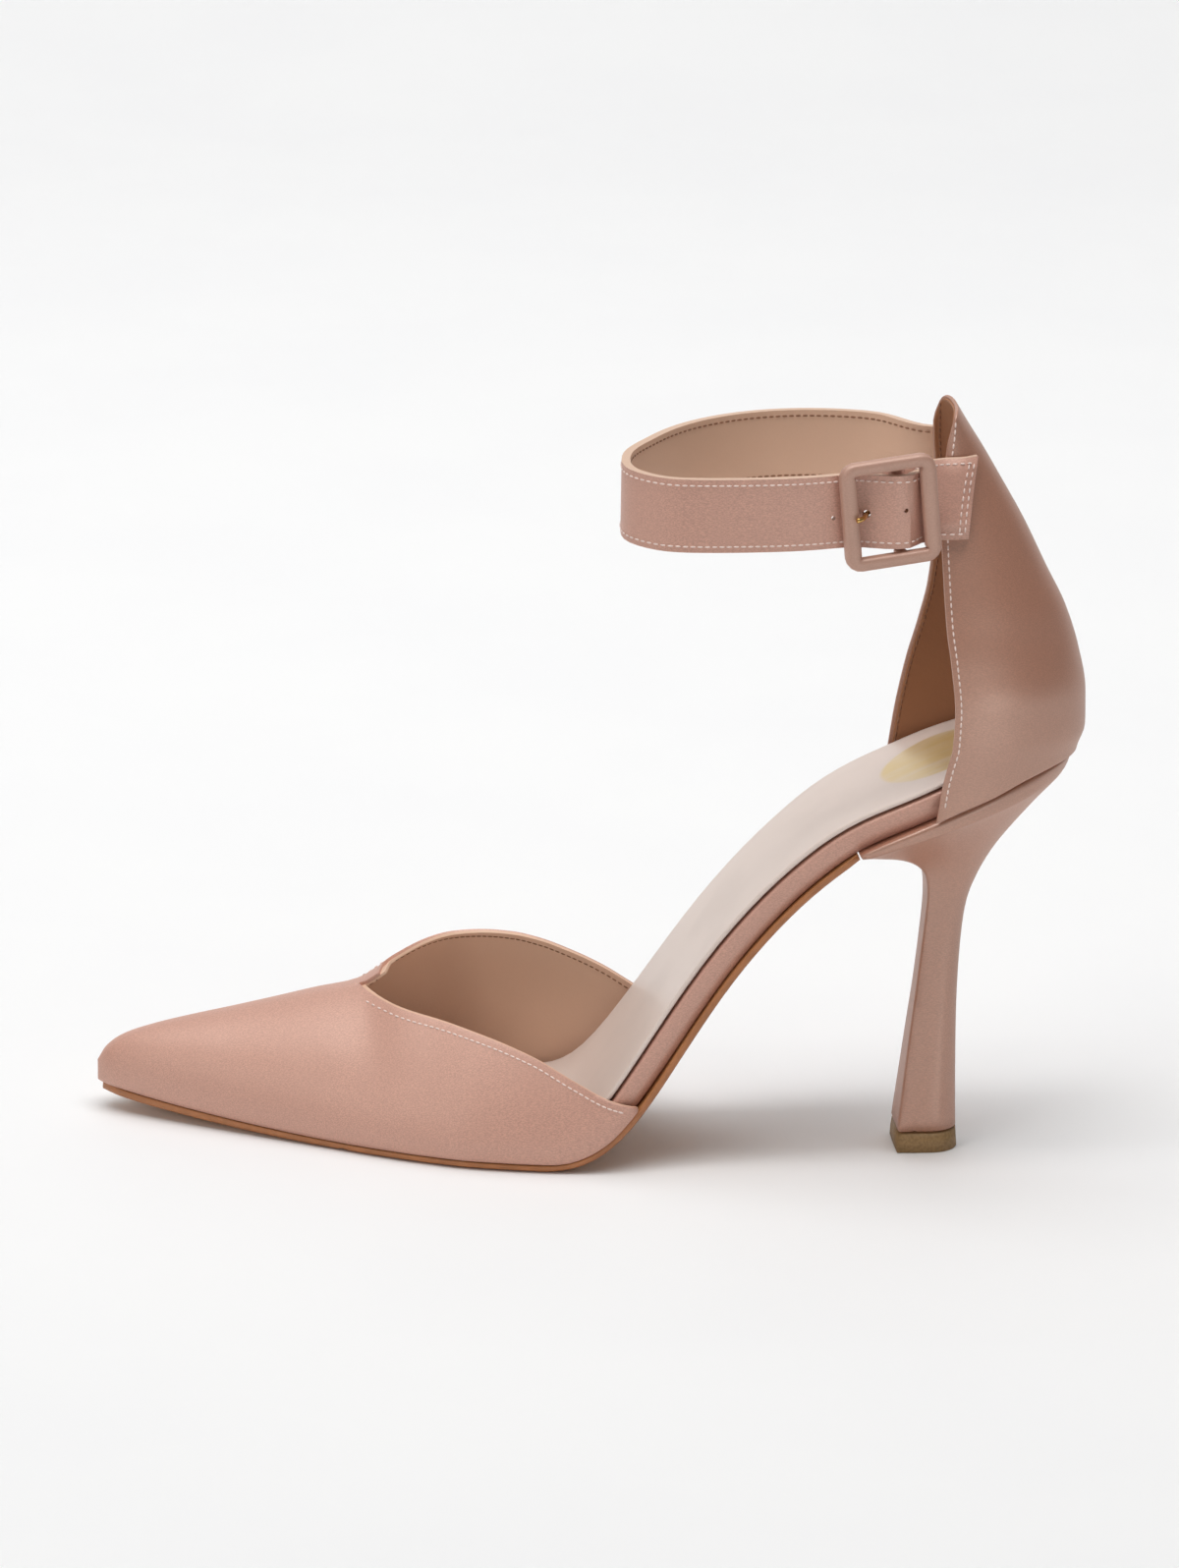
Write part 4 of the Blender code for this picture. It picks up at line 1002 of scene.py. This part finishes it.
def sew_vamp(pale, dark):
    for side in (1, -1):
        end = LATERAL_END if side > 0 else MEDIAL_END
        for label, thin, finish, out_sign in (("outer", 0.0, pale, 1), ("inner", UPPER_WALL, dark, -1)):

            def seam(share, side=side, end=end, thin=thin, out_sign=out_sign):
                x = lerp(end + 0.0035, NOTCH - 0.0008, share)
                top = TOPLINE[side](x)
                slope = (TOPLINE[side](x + 0.0005) - TOPLINE[side](x - 0.0005)) / 0.001
                drop = 0.0016 * math.hypot(1.0, slope)
                rise = rise_at_height(x, side, max(top - drop, FEATHER(x) + 0.0002), thin)
                spot = wall_point(x, side, rise, thin)
                if thin == 0.0:
                    spot.y += side * vamp_creases(spot, side)
                u = wall_point(x + 0.0004, side, rise, thin) - wall_point(x - 0.0004, side, rise, thin)
                v = wall_point(x, side, min(1.0, rise + 0.01), thin) - wall_point(x, side, rise - 0.01, thin)
                normal = u.cross(v).normalized()
                if normal.y * side < 0:
                    normal = -normal
                return spot, normal * out_sign

            length = sum((seam((i + 1) / 40)[0] - seam(i / 40)[0]).length for i in range(40))
            sew("vamp_stitches_%s_%s" % ("lateral" if side > 0 else "medial", label), seam, length, finish)


def sew_counter(pale, dark):
    for label, thin, finish, out_sign in (("outer", 0.0, pale, 1), ("inner", UPPER_WALL, dark, -1)):
        for side in (1, -1):

            def seam(share, side=side, thin=thin, out_sign=out_sign):
                height = lerp(0.0912, TAB_TOP - 0.0022, share)
                near = counter_point(side, height, thin)
                low, high = 0.5, 1.0
                for _ in range(14):
                    mid = (low + high) / 2
                    if (counter_point(side * mid, height, thin) - near).length > EDGE_ROW:
                        low = mid
                    else:
                        high = mid
                turn = side * low
                spot = counter_point(turn, height, thin)
                u = counter_point(turn + 0.01, height, thin) - counter_point(turn - 0.01, height, thin)
                v = counter_point(turn, height + 0.0005, thin) - counter_point(turn, height - 0.0005, thin)
                normal = u.cross(v).normalized()
                if normal.y * side < 0:
                    normal = -normal
                return spot, normal * out_sign

            length = sum((seam((i + 1) / 40)[0] - seam(i / 40)[0]).length for i in range(40))
            sew("counter_stitches_%s_%s" % ("lateral" if side > 0 else "medial", label), seam, length, finish)


# Camera, floor and lights

def look_at(eye, aim, roll=0.0):
    away = (eye - aim).normalized()
    right = Vector((0, 0, 1)).cross(away).normalized()
    up = away.cross(right)
    turn = Matrix((right, up, away)).transposed() @ Matrix.Rotation(roll, 3, "Z")
    return Matrix.Translation(eye) @ turn.to_4x4()


def make_camera():
    data = bpy.data.cameras.new("camera")
    data.sensor_fit = "HORIZONTAL"
    data.sensor_width = SENSOR
    data.lens = LENS
    data.clip_start = 0.05
    data.clip_end = 30.0
    camera = bpy.data.objects.new("camera", data)
    camera.matrix_world = look_at(EYE, AIM, ROLL)
    bpy.context.scene.collection.objects.link(camera)
    bpy.context.scene.camera = camera


def make_floor():
    bm = bmesh.new()

    def place(a, b):
        x = lerp(-4.0, 4.0, a)
        along = b * 7.0
        if along < 4.2:
            return Vector((x, 3.0 - along, 0.0))
        turn = min((along - 4.2) / 1.2, math.pi / 2)
        rest = max(0.0, along - 4.2 - 1.2 * math.pi / 2)
        return Vector((x, -1.2 - 1.2 * math.sin(turn), 1.2 * (1 - math.cos(turn)) + rest))

    add_grid(bm, 8, 140, place)
    bmesh.ops.recalc_face_normals(bm, faces=bm.faces)
    mesh = bpy.data.meshes.new("floor")
    bm.to_mesh(mesh)
    bm.free()
    mesh.shade_smooth()
    paint = Paint("floor_white")
    cloud = paint.noise(9.0, 3.0)
    brushed = paint.noise(1.0, 3.0, paint.stretched((30, 320, 60)))
    tone = paint.mix(cloud.between(0.3, 0.7) * 0.5, screen(242, 242, 242), screen(239, 239, 240))
    mesh.materials.append(paint.finish(tone, 0.7 + 0.1 * brushed, brushed, 0.02, 0.0002))
    floor = bpy.data.objects.new("floor", mesh)
    bpy.context.scene.collection.objects.link(floor)


def add_light(name, eye, aim, size, watts, colour=(1.0, 1.0, 1.0)):
    data = bpy.data.lights.new(name, "AREA")
    data.shape = "RECTANGLE"
    data.size, data.size_y = size
    data.energy = watts
    data.color = colour
    light = bpy.data.objects.new(name, data)
    light.matrix_world = look_at(Vector(eye), Vector(aim))
    bpy.context.scene.collection.objects.link(light)


def make_lights():
    world = bpy.data.worlds.new("studio")
    world.use_nodes = True
    back = world.node_tree.nodes["Background"]
    back.inputs["Color"].default_value = (0.96, 0.98, 1.0, 1.0)
    back.inputs["Strength"].default_value = 0.15
    bpy.context.scene.world = world
    middle_of_shoe = (0.08, 0.0, 0.07)
    add_light("overhead", (0.35, -0.1, 2.1), (0.08, -0.1, 0.0), (2.4, 2.0), 27.5, (1.0, 0.995, 0.985))
    add_light("key", (1.6, 1.3, 1.0), middle_of_shoe, (0.9, 0.9), 7.0, (1.0, 0.985, 0.955))
    add_light("side", (-0.95, 2.2, 0.12), (0.0, 0.0, 0.11), (0.9, 0.22), 1.2, (1.0, 0.99, 0.97))
    add_light("sheen", (-0.29, 0.64, 0.05), (-0.005, 0.03, 0.105), (0.26, 0.06), 0.26, (1.0, 0.95, 0.91))
    add_light("wall", (0.0, 0.4, 2.9), (0.0, -2.4, 1.7), (3.0, 1.2), 66.0)
    bpy.context.scene.view_settings.view_transform = "Standard"
    bpy.context.scene.view_settings.look = "None"


def main():
    make_camera()
    make_floor()
    make_lights()
    satin = satin_paint("satin", SATIN)
    # Satin with painted shade, a darker copy for the upright counter and heel
    satin_painted_shade = satin_paint("satin_painted_shade", SATIN_PAINTED_SHADE, (0.0, 1.2, 0.0), gloss=0.34, index=2.0)
    smooth_satin = satin_paint("frame_satin", SATIN_LIGHT, gloss=0.42, fleck_depth=0.35)
    lining = leather_paint("lining_leather", LINING, 0.5, 1500, 0.2)
    # Lining with painted shade, a darker copy for the inside of the back quarter
    lining_painted_shade = leather_paint("quarter_lining_painted_shade", LINING_PAINTED_SHADE, 0.55, 1300, 0.25)
    cut_edge = leather_paint("cut_edge", screen(224, 190, 166), 0.55, 1800, 0.15)
    pale = thread_paint("thread_pale", THREAD_PALE)
    dark = thread_paint("thread_dark", THREAD_DARK)
    dress("outsole", "sole", [sole_paint(), edge_paint()], "sole_leather", 1,
          choose=lambda face: 1 if abs(face.normal.y) > 0.6 else 0)
    dress("insole_board", "covered_board", [satin], "satin", 1)
    dress("insole_sock", "sock", [sock_paint()], "sock_leather", 1)
    # The heel takes the satin with painted shade
    dress("heel_block", "covered_heel", [satin_painted_shade], "satin", 2)
    dress("top_lift", "heel_lift", [lift_paint()], "lift_rubber", 1, hard=0.9)
    make_vamp(satin, lining)
    # The back quarter takes the satin and the lining with painted shade
    make_counter(satin_painted_shade, lining_painted_shade)
    dress("ankle_strap", "strap", [satin, lining, cut_edge], "satin", 0, choose=strap_choice)
    dress("buckle_strap", "buckle_tab", [satin, cut_edge], "satin", 1, hard=0.8, choose=tab_choice)
    make_frame(smooth_satin)
    dress("buckle_prong", "prong", [metal_paint()], "prong_metal", 1)
    sew_strap(pale, dark)
    sew_tab(pale)
    sew_vamp(pale, dark)
    sew_counter(pale, dark)


main()
